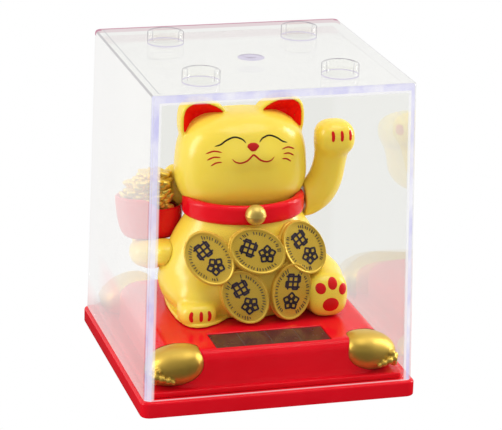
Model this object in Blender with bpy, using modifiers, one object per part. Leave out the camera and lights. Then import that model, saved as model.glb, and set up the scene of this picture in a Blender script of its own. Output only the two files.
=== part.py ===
"""Beckoning cat figurine with a solar swing movement, on a red base under a clear cover.

Lengths in this file are millimetres until they reach a mesh, and the model is in metres.
The origin is the centre of the underside. +X is the viewer's right, -Y the front, +Z up.
"""
import math

import bmesh
import bpy
from mathutils import Matrix, Vector

MM = 0.001
GAP = 0.3                      # air between neighbouring pieces

# base and cover
TRAY_WIDTH = 96.0
TRAY_HEIGHT = 5.5
TRAY_FLOOR = 1.6
TRAY_CORNER = 3.0
COVER_BOTTOM_WIDTH = 93.9
COVER_TOP_WIDTH = 89.8
COVER_TOP = 110.3
COVER_WALL = 2.2
COVER_CORNER = 2.6
STUD_RADIUS = 6.3
STUD_HEIGHT = 4.2
STUD_SPAN = 49.0

# pedestal
FLANGE_HALF = 44.3
FLANGE_TOP = 7.5
MOUND_HALF_X = 39.4
MOUND_FRONT = -41.6
MOUND_BACK = 34.0
MOUND_TOP = 19.8
MOUND_WALL = 2.4
WINDOW_LENGTH = 40.0
WINDOW_DEPTH = 12.5
WINDOW_Y = -32.1
INGOT_CENTRE = (34.0, 32.6, 12.7)
INGOT_RADII = (9.8, 9.4, 6.4)

# cat
BODY_CENTRE_Y = 4.0
BODY_DEPTH_RATIO = 0.73
BODY_FLOOR = MOUND_TOP + GAP
BODY_TOP = 57.0
SKIN = 1.8
SEAM_Y = 13.0
HEAD_CENTRE = (0.0, 10.0, 70.0)
HEAD_RADII = (23.2, 16.8, 17.8)
HEAD_BOTTOM = BODY_TOP + GAP
COLLAR_HALF = 21.6
CHEEK_FLARE = 0.05             # the head is wider at the cheeks than at the brow

# swing movement
PIVOT = (0.0, 7.0, 55.0)       # a point on the axle's axis, which runs along X
AXLE_RADIUS = 1.0
RUNNING_GAP = 0.08             # between the axle and the holes it turns in
PRESSED_GAP = 0.05             # between the axle and the pieces fixed on it
HUB_X = 22.9
SLOT_HALF_X = 6.0
SLOT_HALF_Y = 16.0
MAGNET_DROP = 40.5             # from the axle down to the magnet's middle

CREAM = (0.91, 0.68, 0.20)
RED = (0.70, 0.01, 0.012)
GOLD = (0.55, 0.38, 0.10)


def start_empty():
    """Clears the scene and makes the two collections."""
    for old in list(bpy.data.objects):
        bpy.data.objects.remove(old, do_unlink=True)
    made = []
    for name in ("beckoning_cat_figurine", "cutters"):
        collection = bpy.data.collections.new(name)
        bpy.context.scene.collection.children.link(collection)
        made.append(collection)
    return made


PARTS, CUTTERS = start_empty()


def empty(name, location, parent=None):
    pivot = bpy.data.objects.new(name, None)
    pivot.location = Vector(location) * MM
    pivot.parent = parent
    PARTS.objects.link(pivot)
    return pivot


def finish(name, colour, roughness, metallic=0.0, alpha=1.0):
    """A Principled material for one sub-part."""
    material = bpy.data.materials.new(name + "_finish")
    material.use_nodes = True
    shader = material.node_tree.nodes["Principled BSDF"]
    shader.inputs["Base Color"].default_value = (*colour, 1.0)
    shader.inputs["Roughness"].default_value = roughness
    shader.inputs["Metallic"].default_value = metallic
    shader.inputs["Alpha"].default_value = alpha
    return material


def add_part(shape, name, parent, material, smooth_angle=None):
    """Moves a finished shape into the parts collection, in metres, under its node name."""
    shape.data.transform(Matrix.Scale(MM, 4))
    shape.name = name
    shape.data.name = name
    CUTTERS.objects.unlink(shape)
    PARTS.objects.link(shape)
    shape.hide_render = False
    shape.display_type = "TEXTURED"
    shape.parent = parent
    shape.data.materials.clear()
    shape.data.materials.append(material)
    if smooth_angle is not None:
        shape.data.shade_smooth()
        shape.data.set_sharp_from_angle(angle=math.radians(smooth_angle))
    return shape


def shape_from(bm, name):
    """A bmesh becomes a guide object, still in millimetres."""
    mesh = bpy.data.meshes.new(name)
    bm.to_mesh(mesh)
    bm.free()
    shape = bpy.data.objects.new(name, mesh)
    shape.hide_render = True
    shape.display_type = "WIRE"
    CUTTERS.objects.link(shape)
    return shape


def bake(shape):
    """Replaces a shape's mesh by its evaluated one and drops its modifiers."""
    graph = bpy.context.evaluated_depsgraph_get()
    mesh = bpy.data.meshes.new_from_object(shape.evaluated_get(graph))
    shape.modifiers.clear()
    shape.data = mesh
    return shape


def combine(shape, others, operation):
    """Applies one Boolean per operand with the EXACT solver and removes the operands."""
    for other in others:
        modifier = shape.modifiers.new(operation.lower(), "BOOLEAN")
        modifier.operation = operation
        modifier.solver = "EXACT"
        modifier.object = other
        bake(shape)
        bpy.data.objects.remove(other, do_unlink=True)
    return shape


def duplicate(shape):
    twin = shape.copy()
    twin.data = shape.data.copy()
    CUTTERS.objects.link(twin)
    return twin


def join(shape, *others):
    return combine(shape, others, "UNION")


def cut(shape, *others):
    return combine(shape, others, "DIFFERENCE")


def keep_inside(shape, *others):
    return combine(shape, others, "INTERSECT")


def block(low, high, corner=0.0, edge=0.0, segments=4):
    """A box between two corners, with rounded uprights and rounded rims."""
    low, high = Vector(low), Vector(high)
    bm = bmesh.new()
    bmesh.ops.create_cube(bm, size=1.0)
    bmesh.ops.scale(bm, vec=high - low, verts=bm.verts)
    bmesh.ops.translate(bm, vec=(low + high) / 2, verts=bm.verts)
    if corner:
        uprights = [e for e in bm.edges if abs(e.verts[0].co.z - e.verts[1].co.z) > 1e-4]
        bmesh.ops.bevel(bm, geom=uprights, offset=corner, segments=segments,
                        profile=0.5, affect="EDGES")
    if edge:
        rims = [e for e in bm.edges if abs(e.verts[0].co.z - e.verts[1].co.z) < 1e-4
                and len(e.link_faces) == 2 and e.calc_face_angle() > 1.0]
        bmesh.ops.bevel(bm, geom=rims, offset=edge, segments=3, profile=0.5, affect="EDGES")
    return shape_from(bm, "block")


def tapered_block(bottom_half, top_half, bottom, top, corner):
    """A square box that narrows upwards, with rounded uprights."""
    shape = block((-bottom_half, -bottom_half, bottom), (bottom_half, bottom_half, top), corner)
    shrink = top_half / bottom_half
    middle = (bottom + top) / 2
    for vertex in shape.data.vertices:
        if vertex.co.z > middle:
            vertex.co.x *= shrink
            vertex.co.y *= shrink
    return shape


def rod(radius, start, end, sides=24):
    """A cylinder between two points."""
    start, end = Vector(start), Vector(end)
    bm = bmesh.new()
    bmesh.ops.create_cone(bm, cap_ends=True, segments=sides, radius1=radius,
                          radius2=radius, depth=(end - start).length)
    turn = (end - start).to_track_quat("Z", "Y").to_matrix()
    bmesh.ops.rotate(bm, matrix=turn, verts=bm.verts)
    bmesh.ops.translate(bm, vec=(start + end) / 2, verts=bm.verts)
    return shape_from(bm, "rod")


def ball(radii, centre, power_xy=2.0, power_z=2.0, segments=24, rings=14):
    """A superellipsoid: power 2 is an ellipsoid, and a higher power is squarer."""
    bm = bmesh.new()
    bmesh.ops.create_uvsphere(bm, u_segments=segments, v_segments=rings, radius=1.0)
    for vertex in bm.verts:
        x, y, z = (abs(c) for c in vertex.co)
        flat = (x ** power_xy + y ** power_xy) ** (power_z / power_xy)
        vertex.co /= (flat + z ** power_z) ** (1.0 / power_z)
    bmesh.ops.scale(bm, vec=radii, verts=bm.verts)
    bmesh.ops.translate(bm, vec=centre, verts=bm.verts)
    return shape_from(bm, "ball")


def eased(points, per_span):
    """A smooth Catmull-Rom run through the given points."""
    points = [Vector(p) for p in points]
    run = [2 * points[0] - points[1]] + points + [2 * points[-1] - points[-2]]
    smooth = []
    for before, a, b, after in zip(run, run[1:], run[2:], run[3:]):
        for step in range(per_span):
            t = step / per_span
            smooth.append(0.5 * (2 * a + (b - before) * t
                                 + (2 * before - 5 * a + 4 * b - after) * t * t
                                 + (3 * a - before - 3 * b + after) * t ** 3))
    smooth.append(points[-1])
    return smooth


def turned(profile, steps=32, depth_ratio=1.0, centre_y=0.0, closed=False):
    """A (radius, height) profile, top to bottom, spun about Z, then squeezed in Y."""
    bm = bmesh.new()
    verts = [bm.verts.new((r, 0.0, z)) for r, z in profile]
    for a, b in zip(verts, verts[1:]):
        bm.edges.new((a, b))
    if closed:
        bm.edges.new((verts[-1], verts[0]))
    shape = shape_from(bm, "turned")
    spin = shape.modifiers.new("spin", "SCREW")
    spin.steps = steps
    spin.render_steps = steps
    spin.use_merge_vertices = True
    spin.merge_threshold = 0.0001
    bake(shape)
    shape.data.transform(Matrix.Diagonal((1.0, depth_ratio, 1.0, 1.0)))
    shape.data.transform(Matrix.Translation((0.0, centre_y, 0.0)))
    return shape


def limb(path, radii, per_span=4, resolution=3, flat_start=False):
    """A tube of changing thickness along a path, with round ends unless one is flat."""
    run = eased([(*p, r) for p, r in zip([Vector(p) for p in path], radii)], per_span)
    points = [(Vector(p[:3]), p[3]) for p in run]
    points = points if flat_start else round_end(points[::-1])[::-1]
    points = round_end(points)
    curve = bpy.data.curves.new("limb", "CURVE")
    curve.dimensions = "3D"
    curve.bevel_depth = 1.0
    curve.bevel_resolution = resolution
    curve.use_fill_caps = True
    spline = curve.splines.new("POLY")
    spline.points.add(len(points) - 1)
    for target, (place, radius) in zip(spline.points, points):
        target.co = (*(place), 1.0)
        target.radius = radius
    return curve_shape(curve)


def round_end(points):
    """Adds points whose radius falls along a quarter circle past the path's end."""
    (before, _), (last, radius) = points[-2], points[-1]
    along = (last - before).normalized()
    steps = 5
    for step in range(1, steps + 1):
        angle = math.radians(86.0) * step / steps
        points = points + [(last + along * radius * math.sin(angle), radius * math.cos(angle))]
    return points


def wire(path, radius, resolution=2):
    curve = bpy.data.curves.new("wire", "CURVE")
    curve.dimensions = "3D"
    curve.bevel_depth = radius
    curve.bevel_resolution = resolution
    curve.use_fill_caps = True
    spline = curve.splines.new("POLY")
    spline.points.add(len(path) - 1)
    for target, place in zip(spline.points, path):
        target.co = (*(Vector(place)), 1.0)
    return curve_shape(curve)


def outline_plate(outline, thickness, matrix):
    """A flat closed outline in XY, filled and given a thickness, then placed."""
    curve = bpy.data.curves.new("plate", "CURVE")
    curve.dimensions = "2D"
    curve.fill_mode = "BOTH"
    curve.extrude = thickness / 2
    spline = curve.splines.new("POLY")
    spline.points.add(len(outline) - 1)
    spline.use_cyclic_u = True
    for target, (x, y) in zip(spline.points, outline):
        target.co = (x, y, 0.0, 1.0)
    shape = curve_shape(curve)
    shape.data.transform(matrix)
    return shape


def curve_shape(curve):
    """A curve becomes a closed mesh shape: its caps are welded on."""
    guide = bpy.data.objects.new("curve", curve)
    CUTTERS.objects.link(guide)
    bpy.context.view_layer.update()
    graph = bpy.context.evaluated_depsgraph_get()
    mesh = bpy.data.meshes.new_from_object(guide.evaluated_get(graph))
    bpy.data.objects.remove(guide, do_unlink=True)
    bm = bmesh.new()
    bm.from_mesh(mesh)
    bmesh.ops.remove_doubles(bm, verts=bm.verts, dist=0.005)
    bmesh.ops.recalc_face_normals(bm, faces=bm.faces)
    bm.to_mesh(mesh)
    bm.free()
    shape = bpy.data.objects.new("curve_shape", mesh)
    shape.hide_render = True
    shape.display_type = "WIRE"
    CUTTERS.objects.link(shape)
    return shape


def bevel(shape, width, segments=2, angle=40.0):
    modifier = shape.modifiers.new("edge", "BEVEL")
    modifier.width = width
    modifier.segments = segments
    modifier.limit_method = "ANGLE"
    modifier.angle_limit = math.radians(angle)
    return bake(shape)


# ---------------------------------------------------------------- base and cover

BASE_SCREWS = [(x, y) for x in (-33.0, 33.0) for y in (-17.0, 17.0)]
BOARD_SCREWS = [(-17.0, 7.0), (17.0, 7.0)]
BOARD_BOTTOM = 4.3
BOARD_TOP = 5.5


def base_tray(parent):
    half = TRAY_WIDTH / 2
    tray = block((-half, -half, 0), (half, half, TRAY_HEIGHT), TRAY_CORNER, edge=0.5)
    pocket = FLANGE_HALF - 2.4
    tray = cut(tray, block((-pocket, -pocket, TRAY_FLOOR), (pocket, pocket, 9), 2.0))
    for x, y in BASE_SCREWS:
        tray = join(tray, rod(4.2, (x, y, 0.8), (x, y, 3.6)))
        tray = cut(tray, rod(1.6, (x, y, -1), (x, y, 5), sides=16),
                   rod(2.7, (x, y, -1), (x, y, 1.9), sides=16))
    for x, y in BOARD_SCREWS:
        tray = join(tray, rod(2.6, (x, y, 1.0), (x, y, BOARD_BOTTOM - GAP), sides=16))
        tray = cut(tray, rod(1.3, (x, y, 2.2), (x, y, 6), sides=12))
    return add_part(tray, "base_tray", parent, finish("base_tray", RED, 0.3), 40)


def mound_form(offset, top, bottom):
    """The platform's outer form, or its hollow with a negative offset."""
    return block((-MOUND_HALF_X - offset, MOUND_FRONT - offset, bottom),
                 (MOUND_HALF_X + offset, MOUND_BACK + offset, top),
                 10.0 + offset, edge=3.0 + offset / 2)


def ingot_dome(offset, sign_x, sign_y, foot):
    """One corner ingot's dome, cut off flat at its foot."""
    centre = [c * sign for c, sign in zip(INGOT_CENTRE, (sign_x, sign_y, 1))]
    radii = [r + offset for r in INGOT_RADII]
    dome = ball(radii, centre, 3.0, 2.3, 20, 10)
    return keep_inside(dome, block((-60, -60, foot), (60, 60, 40)))


def pedestal_shell(parent):
    shell = block((-FLANGE_HALF, -FLANGE_HALF, TRAY_HEIGHT + GAP),
                  (FLANGE_HALF, FLANGE_HALF, FLANGE_TOP), 2.0)
    shell = join(shell, mound_form(0, MOUND_TOP, TRAY_HEIGHT + 0.8))
    shell = cut(shell, mound_form(-MOUND_WALL, MOUND_TOP - MOUND_WALL, 2.0))
    half_x, half_y = WINDOW_LENGTH / 2, WINDOW_DEPTH / 2
    for x, y in BASE_SCREWS:
        shell = join(shell, rod(3.4, (x, y, 3.9), (x, y, MOUND_TOP - 1), sides=16))
        shell = cut(shell, rod(1.6, (x, y, 2), (x, y, 13), sides=12))
    for x, y in FRAME_SCREWS + BODY_SCREWS:
        shell = cut(shell, rod(1.3, (x, y, MOUND_TOP - 5), (x, y, MOUND_TOP + 5), sides=12))
    recess = block((-half_x - GAP, WINDOW_Y - half_y - GAP, MOUND_TOP - 1.3),
                   (half_x + GAP, WINDOW_Y + half_y + GAP, MOUND_TOP + 2))
    opening = block((-half_x + 1.5, WINDOW_Y - half_y + 1.5, MOUND_TOP - 5),
                    (half_x - 1.5, WINDOW_Y + half_y - 1.5, MOUND_TOP))
    slot = block((-SLOT_HALF_X, PIVOT[1] - SLOT_HALF_Y, MOUND_TOP - 5),
                 (SLOT_HALF_X, PIVOT[1] + SLOT_HALF_Y, MOUND_TOP + 5))
    shell = cut(shell, recess, opening, slot)
    for sign_x in (-1, 1):
        for sign_y in (-1, 1):
            shell = cut(shell, ingot_dome(GAP, sign_x, sign_y, FLANGE_TOP))
    return add_part(shell, "pedestal_shell", parent, finish("pedestal_shell", RED, 0.2), 35)


def ingot(name, parent, sign_x, sign_y):
    """A gold lump with three little nuggets at its outer corner."""
    lump = ingot_dome(0, sign_x, sign_y, FLANGE_TOP + GAP)
    nuggets = ((41.2, 40.2, 1.8), (42.6, 37.8, 1.5), (38.6, 41.4, 1.5))
    for x, y, radius in nuggets:
        place = (sign_x * x, sign_y * y, 12.0)
        lump = join(lump, ball((radius, radius, radius), place, segments=7, rings=5))
    return add_part(lump, name, parent, finish(name, GOLD, 0.35, 1.0), 40)


def clear_cover(parent):
    bottom = TRAY_HEIGHT + GAP / 3
    half_low, half_high = COVER_BOTTOM_WIDTH / 2, COVER_TOP_WIDTH / 2
    cover = tapered_block(half_low, half_high, bottom, COVER_TOP, COVER_CORNER)
    cover = bevel(cover, 0.8, 2, 60)
    slope = (half_low - half_high) / (COVER_TOP - bottom)
    low = bottom - 3
    high = COVER_TOP - COVER_WALL
    inner_low = half_low + 3 * slope - COVER_WALL
    inner_high = half_high + COVER_WALL * slope - COVER_WALL
    cover = cut(cover, tapered_block(inner_low, inner_high, low, high, COVER_CORNER - 1.4))
    for x in (-STUD_SPAN / 2, STUD_SPAN / 2):
        for y in (-STUD_SPAN / 2 - 4, STUD_SPAN / 2 - 4):
            top = COVER_TOP + STUD_HEIGHT
            cover = join(cover, rod(STUD_RADIUS, (x, y, COVER_TOP - 1), (x, y, top), sides=24))
            cover = cut(cover, rod(STUD_RADIUS - 1.7, (x, y, COVER_TOP + 0.6), (x, y, top + 1)))
    cover = join(cover, rod(1.1, (-1, -3.5, COVER_TOP - 1), (-1, -3.5, COVER_TOP + 0.3), sides=12))
    material = finish("clear_cover", (0.95, 0.96, 1.0), 0.05, alpha=0.25)
    return add_part(cover, "clear_cover", parent, material, 40)


def screw(x, y, head_bottom, head_top, tip, head_radius=2.3, shank_radius=1.3):
    """A pan-head screw along Z; the tip may be above or below the head."""
    middle = (head_bottom + head_top) / 2
    shape = rod(head_radius, (x, y, head_bottom), (x, y, head_top), sides=14)
    shape = join(shape, rod(shank_radius, (x, y, middle), (x, y, tip), sides=10))
    top = head_bottom if tip > head_top else head_top
    slot = 0.35
    return cut(shape, block((x - 1.3, y - 0.3, top - slot), (x + 1.3, y + 0.3, top + slot)))


def solar_cell(parent):
    half_x, half_y = WINDOW_LENGTH / 2, WINDOW_DEPTH / 2
    cell = block((-half_x, WINDOW_Y - half_y, MOUND_TOP - 1.0),
                 (half_x, WINDOW_Y + half_y, MOUND_TOP - 0.3))
    return add_part(cell, "solar_cell", parent, finish("solar_cell", (0.06, 0.045, 0.04), 0.1))


def solar_wire(name, parent, x, colour):
    """A wire that sags from the cell's back to the board's front edge."""
    start = (x, WINDOW_Y + 1, MOUND_TOP - 1.4)
    path = eased([start, (x, WINDOW_Y + 2, 12.0), (x * 1.3, WINDOW_Y + 9, 8.0),
                  (x * 1.6, -12.0, 8.6), (x * 1.8, -9.5, BOARD_TOP + 1.0)], 3)
    return add_part(wire(path, 0.5, 1), name, parent, finish(name, colour, 0.5), 60)


def electronics(parent):
    y = PIVOT[1]
    board = block((-20, y - 18, BOARD_BOTTOM), (20, y + 14, BOARD_TOP), 1.0)
    for x, hole_y in BOARD_SCREWS:
        board = cut(board, rod(1.3, (x, hole_y, 2), (x, hole_y, 8), sides=12))
    add_part(board, "circuit_board", parent, finish("circuit_board", (0.02, 0.16, 0.05), 0.5))
    blob = ball((3.2, 3.2, 1.5), (12.5, -4.0, BOARD_TOP + GAP), segments=16, rings=8)
    blob = keep_inside(blob, block((5, -12, BOARD_TOP + GAP), (20, 5, 12)))
    add_part(blob, "chip_blob", parent, finish("chip_blob", (0.01, 0.01, 0.01), 0.3), 50)
    can_z = BOARD_TOP + GAP + 2.5
    can = bevel(rod(2.5, (-17.5, -4, can_z), (-9, -4, can_z), sides=20), 0.4, 1)
    add_part(can, "storage_capacitor", parent,
             finish("storage_capacitor", (0.03, 0.04, 0.12), 0.3), 40)
    spool_low, spool_high = BOARD_TOP + GAP, BOARD_TOP + GAP + 5.0
    spool = turned([(8.5, spool_high), (8.5, spool_high - 0.8), (3.2, spool_high - 0.8),
                    (3.2, spool_low + 0.8), (8.5, spool_low + 0.8), (8.5, spool_low),
                    (1.8, spool_low), (1.8, spool_high)], 28, closed=True)
    spool.data.transform(Matrix.Translation((0, y, 0)))
    add_part(spool, "coil_bobbin", parent, finish("coil_bobbin", (0.8, 0.8, 0.75), 0.5), 40)
    wound = turned([(7.8, spool_high - 1.1), (7.8, spool_low + 1.1),
                    (3.5, spool_low + 1.1), (3.5, spool_high - 1.1)], 28, closed=True)
    wound.data.transform(Matrix.Translation((0, y, 0)))
    add_part(wound, "drive_coil", parent, finish("drive_coil", (0.6, 0.2, 0.06), 0.35, 1.0), 40)


# ---------------------------------------------------------------- swing movement

FRAME_SCREWS = [(-12.0, PIVOT[1]), (12.0, PIVOT[1])]
CHEEK_X = 8.0


def axle_frame(parent):
    """Two cheeks on feet carry the axle above the slot in the platform."""
    y = PIVOT[1]
    floor = MOUND_TOP + GAP
    frame = block((-15, y - 5, floor), (15, y + 5, floor + 1.6), 1.0)
    for side in (-1, 1):
        inner, outer = side * CHEEK_X, side * (CHEEK_X + 1.8)
        frame = join(frame, block((min(inner, outer), y - 3.2, floor + 0.5),
                                  (max(inner, outer), y + 3.2, PIVOT[2] + 4.8)))
    frame = cut(frame, block((-CHEEK_X + 0.6, y - 9, floor - 1), (CHEEK_X - 0.6, y + 9, floor + 1.0)))
    frame = join(frame, block((-CHEEK_X - 1, y - 2.6, PIVOT[2] + 3.5),
                              (CHEEK_X + 1, y + 2.6, PIVOT[2] + 4.6)))
    frame = cut(frame, block((-SLOT_HALF_X, y - 9, floor - 1), (SLOT_HALF_X, y + 9, floor + 3)))
    frame = cut(frame, rod(AXLE_RADIUS + RUNNING_GAP, (-30, y, PIVOT[2]), (30, y, PIVOT[2]), sides=20))
    for x, screw_y in FRAME_SCREWS:
        frame = cut(frame, rod(1.3, (x, screw_y, 15), (x, screw_y, 30), sides=12))
    add_part(frame, "axle_frame", parent, finish("axle_frame", (0.75, 0.75, 0.72), 0.5), 40)


def swing(pivot):
    """Everything that turns with the axle, modelled about the pivot point."""
    axle = bevel(rod(AXLE_RADIUS, (-13.0, 0, 0), (HUB_X + 3.0, 0, 0), sides=20), 0.25, 1)
    add_part(axle, "arm_axle", pivot, finish("arm_axle", (0.6, 0.6, 0.6), 0.25, 1.0), 50)
    cap = bevel(rod(2.4, (-14.0, 0, 0), (-10.6, 0, 0), sides=20), 0.3, 1)
    cap = cut(cap, rod(AXLE_RADIUS + PRESSED_GAP, (-13.3, 0, 0), (-8, 0, 0), sides=20))
    add_part(cap, "axle_end_cap", pivot, finish("axle_end_cap", (0.8, 0.8, 0.78), 0.5), 50)
    hang = -MAGNET_DROP
    lever = rod(3.0, (-3.0, 0, 0), (3.0, 0, 0), sides=24)
    lever = join(lever, block((-0.9, -2.5, hang + 1.0), (0.9, 2.5, 0)))
    lever = join(lever, rod(5.2, (0, 0, hang + 0.2), (0, 0, hang + 2.2), sides=24))
    lever = cut(lever, rod(AXLE_RADIUS + PRESSED_GAP, (-8, 0, 0), (8, 0, 0), sides=20))
    add_part(lever, "pendulum_arm", pivot, finish("pendulum_arm", (0.85, 0.85, 0.82), 0.5), 50)
    magnet = bevel(rod(4.5, (0, 0, hang - 2.6), (0, 0, hang - 0.1), sides=24), 0.3, 1)
    add_part(magnet, "pendulum_magnet", pivot,
             finish("pendulum_magnet", (0.5, 0.5, 0.52), 0.25, 1.0), 50)
    weight = block((-2.6, -3.8, hang + 8), (2.6, 3.8, hang + 16), edge=0.5)
    weight = cut(weight, block((-0.9 - GAP, -5, hang + 6), (0.9 + GAP, 2.5 + GAP, hang + 18)))
    add_part(weight, "balance_weight", pivot,
             finish("balance_weight", (0.35, 0.35, 0.36), 0.4, 1.0), 50)
    path = [(HUB_X, 0, 0), (HUB_X + 2.2, -0.1, 0.5), (HUB_X + 5.6, -0.5, 3.2),
            (HUB_X + 8.0, -1.2, 8.0), (HUB_X + 9.3, -2.2, 14.0), (HUB_X + 10.5, -3.2, 19.6),
            (HUB_X + 11.0, -3.8, 22.0)]
    arm = limb(path, (6.1, 6.1, 6.2, 6.0, 5.9, 6.5, 6.8), 2, 3, flat_start=True)
    arm = cut(arm, rod(AXLE_RADIUS + PRESSED_GAP, (HUB_X - 4, 0, 0), (HUB_X + 3.4, 0, 0), sides=20))
    add_part(arm, "waving_arm", pivot, finish("waving_arm", CREAM, 0.35), 50)


# ---------------------------------------------------------------- cat

BODY_SCREWS = [(-20.0, 3.0), (20.0, 3.0)]
BODY_OUTLINE = [(17.5, BODY_TOP), (19.4, 54.5), (21.4, 51.5), (24.2, 47.0), (27.0, 41.0),
                (29.2, 35.0), (30.2, 29.0), (29.4, 24.0), (27.0, BODY_FLOOR)]


def body_outline(offset):
    """The body's half-width at each height, top to bottom, moved out by the offset."""
    return [(p.x + offset, p.y) for p in eased(BODY_OUTLINE, 2)]


def body_form(offset, above=0.0, below=2.5):
    """The closed body form moved out by the offset, with straight ends added on."""
    outline = body_outline(offset)
    top, bottom = outline[0][1] + above, outline[-1][1] - below
    profile = [(0.0, top)]
    if above:
        profile.append((outline[0][0], top))
    profile += outline
    profile += [(outline[-1][0], bottom), (0.0, bottom)]
    return turned(profile, 32 if offset >= 0 else 20, BODY_DEPTH_RATIO, BODY_CENTRE_Y)


def cat_limbs(offset):
    """The thighs and feet, left to right, moved out by the offset."""
    shapes = []
    for radii, centre, power in (((9.0, 13.5, 8.0), (-20.0, -3.5, 27.0), 2.0),
                                 ((7.8, 6.8, 4.8), (-19.2, -13.2, 23.4), 2.6),
                                 ((7.4, 6.6, 8.0), (25.0, -15.2, 27.9), 2.8),
                                 ((10.5, 14.5, 10.0), (23.6, -4.0, 28.5), 2.0)):
        shapes.append(ball([r + offset for r in radii], centre, power, power, 18, 10))
    return shapes


def body_shells(parent):
    body = body_form(0.0)
    lip = ball((27.2, 22.0, 3.4), (0.0, 2.8, BODY_FLOOR - 1.4), 2.8, 2.4, 32, 8)
    body = join(body, *cat_limbs(0.0), lip)
    body = cut(body, block((-60, -60, 0), (60, 60, BODY_FLOOR)))
    body = cut(body, body_form(-SKIN, above=3.0))
    pivot_y, pivot_z = PIVOT[1:]
    pocket = rod(7.3, (HUB_X - 0.4, pivot_y, pivot_z), (60, pivot_y, pivot_z), sides=24)
    axle_hole = rod(1.8, (10, pivot_y, pivot_z), (60, pivot_y, pivot_z), sides=16)
    body = cut(body, pocket, axle_hole)
    for x, y in BODY_SCREWS:
        body = join(body, rod(3.0, (x, y, BODY_FLOOR + 0.4), (x, y, BODY_FLOOR + 6), sides=16))
        side = 1 if x > 0 else -1
        web_low, web_high = sorted((x, side * 27.0))
        body = join(body, block((web_low, y - 1, BODY_FLOOR + 0.7), (web_high, y + 1, BODY_FLOOR + 5)))
        body = cut(body, rod(1.3, (x, y, 15), (x, y, BODY_FLOOR + 4.6), sides=12))
    front = keep_inside(duplicate(body), block((-60, -60, 0), (60, SEAM_Y - GAP / 2, 90)))
    back = keep_inside(body, block((-60, SEAM_Y + GAP / 2, 0), (60, 60, 90)))
    add_part(front, "body_front_shell", parent, finish("body_front_shell", CREAM, 0.35), 35)
    add_part(back, "body_back_shell", parent, finish("body_back_shell", CREAM, 0.35), 35)


def ear(sign):
    """A broad rounded ear on one top corner of the head, facing forward."""
    outline = [(6.0, 83.0), (8.0, 87.6), (12.0, 90.2), (16.0, 91.2), (19.4, 90.4),
               (21.4, 87.6), (21.8, 83.0), (20.6, 76.0), (14.0, 79.0)]
    points = [(p.x, p.y) for p in eased(outline, 2)]
    upright = Matrix.Translation((0, 11.0, 0)) @ Matrix.Rotation(math.radians(90), 4, "X")
    plate = outline_plate([(sign * x, z) for x, z in points][::sign], 6.4, upright)
    return bevel(plate, 1.6, 2, 50)


def head_form(offset):
    radii = [r + offset for r in HEAD_RADII]
    form = ball(radii, HEAD_CENTRE, 2.3, 2.55, *((32, 18) if offset >= 0 else (20, 12)))
    middle = HEAD_CENTRE[2]
    for vertex in form.data.vertices:
        vertex.co.x *= 1.0 - CHEEK_FLARE * (vertex.co.z - middle) / (HEAD_RADII[2])
    return form


def head_shells(parent):
    head = join(head_form(0.0), ear(1), ear(-1))
    head = cut(head, head_form(-SKIN), block((-60, -60, 0), (60, 60, HEAD_BOTTOM)))
    front = keep_inside(duplicate(head), block((-60, -60, 0), (60, SEAM_Y + 1.5, 120)))
    back = keep_inside(head, block((-60, SEAM_Y + 1.5 + GAP, 0), (60, 60, 120)))
    add_part(front, "head_front_shell", parent, finish("head_front_shell", CREAM, 0.35), 35)
    add_part(back, "head_back_shell", parent, finish("head_back_shell", CREAM, 0.35), 35)


def collar(parent):
    """A round-backed band in the crease between head and body."""
    half_height = 3.3
    middle = 56.5
    profile = [(COLLAR_HALF - 3.6, middle - half_height + 0.5)]
    for step in range(5):
        angle = math.radians(-80 + 160 * step / 4)
        profile.append((COLLAR_HALF - 1.6 + 1.6 * math.cos(angle),
                        middle + half_height * math.sin(angle) / math.sin(math.radians(80))))
    profile.append((COLLAR_HALF - 3.6, middle + half_height - 0.5))
    band = turned(profile[::-1], 32, 0.72, 6.4, closed=True)
    band = cut(band, body_form(GAP, above=GAP), head_form(GAP))
    y, z = PIVOT[1:]
    band = cut(band, rod(7.2, (HUB_X - GAP, y, z), (60, y, z), sides=24),
               rod(1.7, (10, y, z), (60, y, z), sides=16))
    return add_part(band, "collar", parent, finish("collar", RED, 0.15), 45)


def bell(parent):
    shape = ball((3.7, 3.7, 3.7), (-0.7, -13.6, 57.4), segments=16, rings=10)
    return add_part(shape, "bell", parent, finish("bell", GOLD, 0.25, 1.0), 60)


def collar_space():
    """A plain oval disc that holds the collar and its gap."""
    reach, height = COLLAR_HALF + GAP, 3.3 + GAP
    return turned([(0, 56.5 + height), (reach, 56.5 + height), (reach, 56.5 - height),
                   (0, 56.5 - height)], 32, 0.72, 6.4)


def holding_arm_form(offset):
    """The arm that bends back from the shoulder and comes forward under the bowl."""
    path = [(-17.5, 20.0, 55.5), (-23.0, 23.4, 52.5), (-28.0, 24.6, 47.0),
            (-30.8, 22.0, 40.6), (-31.0, 16.5, 37.2), (-31.0, 11.5, 37.2)]
    radii = (4.8, 4.8, 4.8, 4.9, 5.2, 5.6)
    return limb(path, [radius + offset for radius in radii], 2, 3)


def holding_arm(parent):
    arm = holding_arm_form(0.0)
    arm = cut(arm, body_form(GAP, above=GAP), head_form(GAP), bowl_form(0.45), collar_space())
    return add_part(arm, "holding_arm", parent, finish("holding_arm", CREAM, 0.35), 50)


BOWL_CENTRE = (-31.2, 15.5)
BOWL_HALF = (11.9, 7.6)


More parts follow.
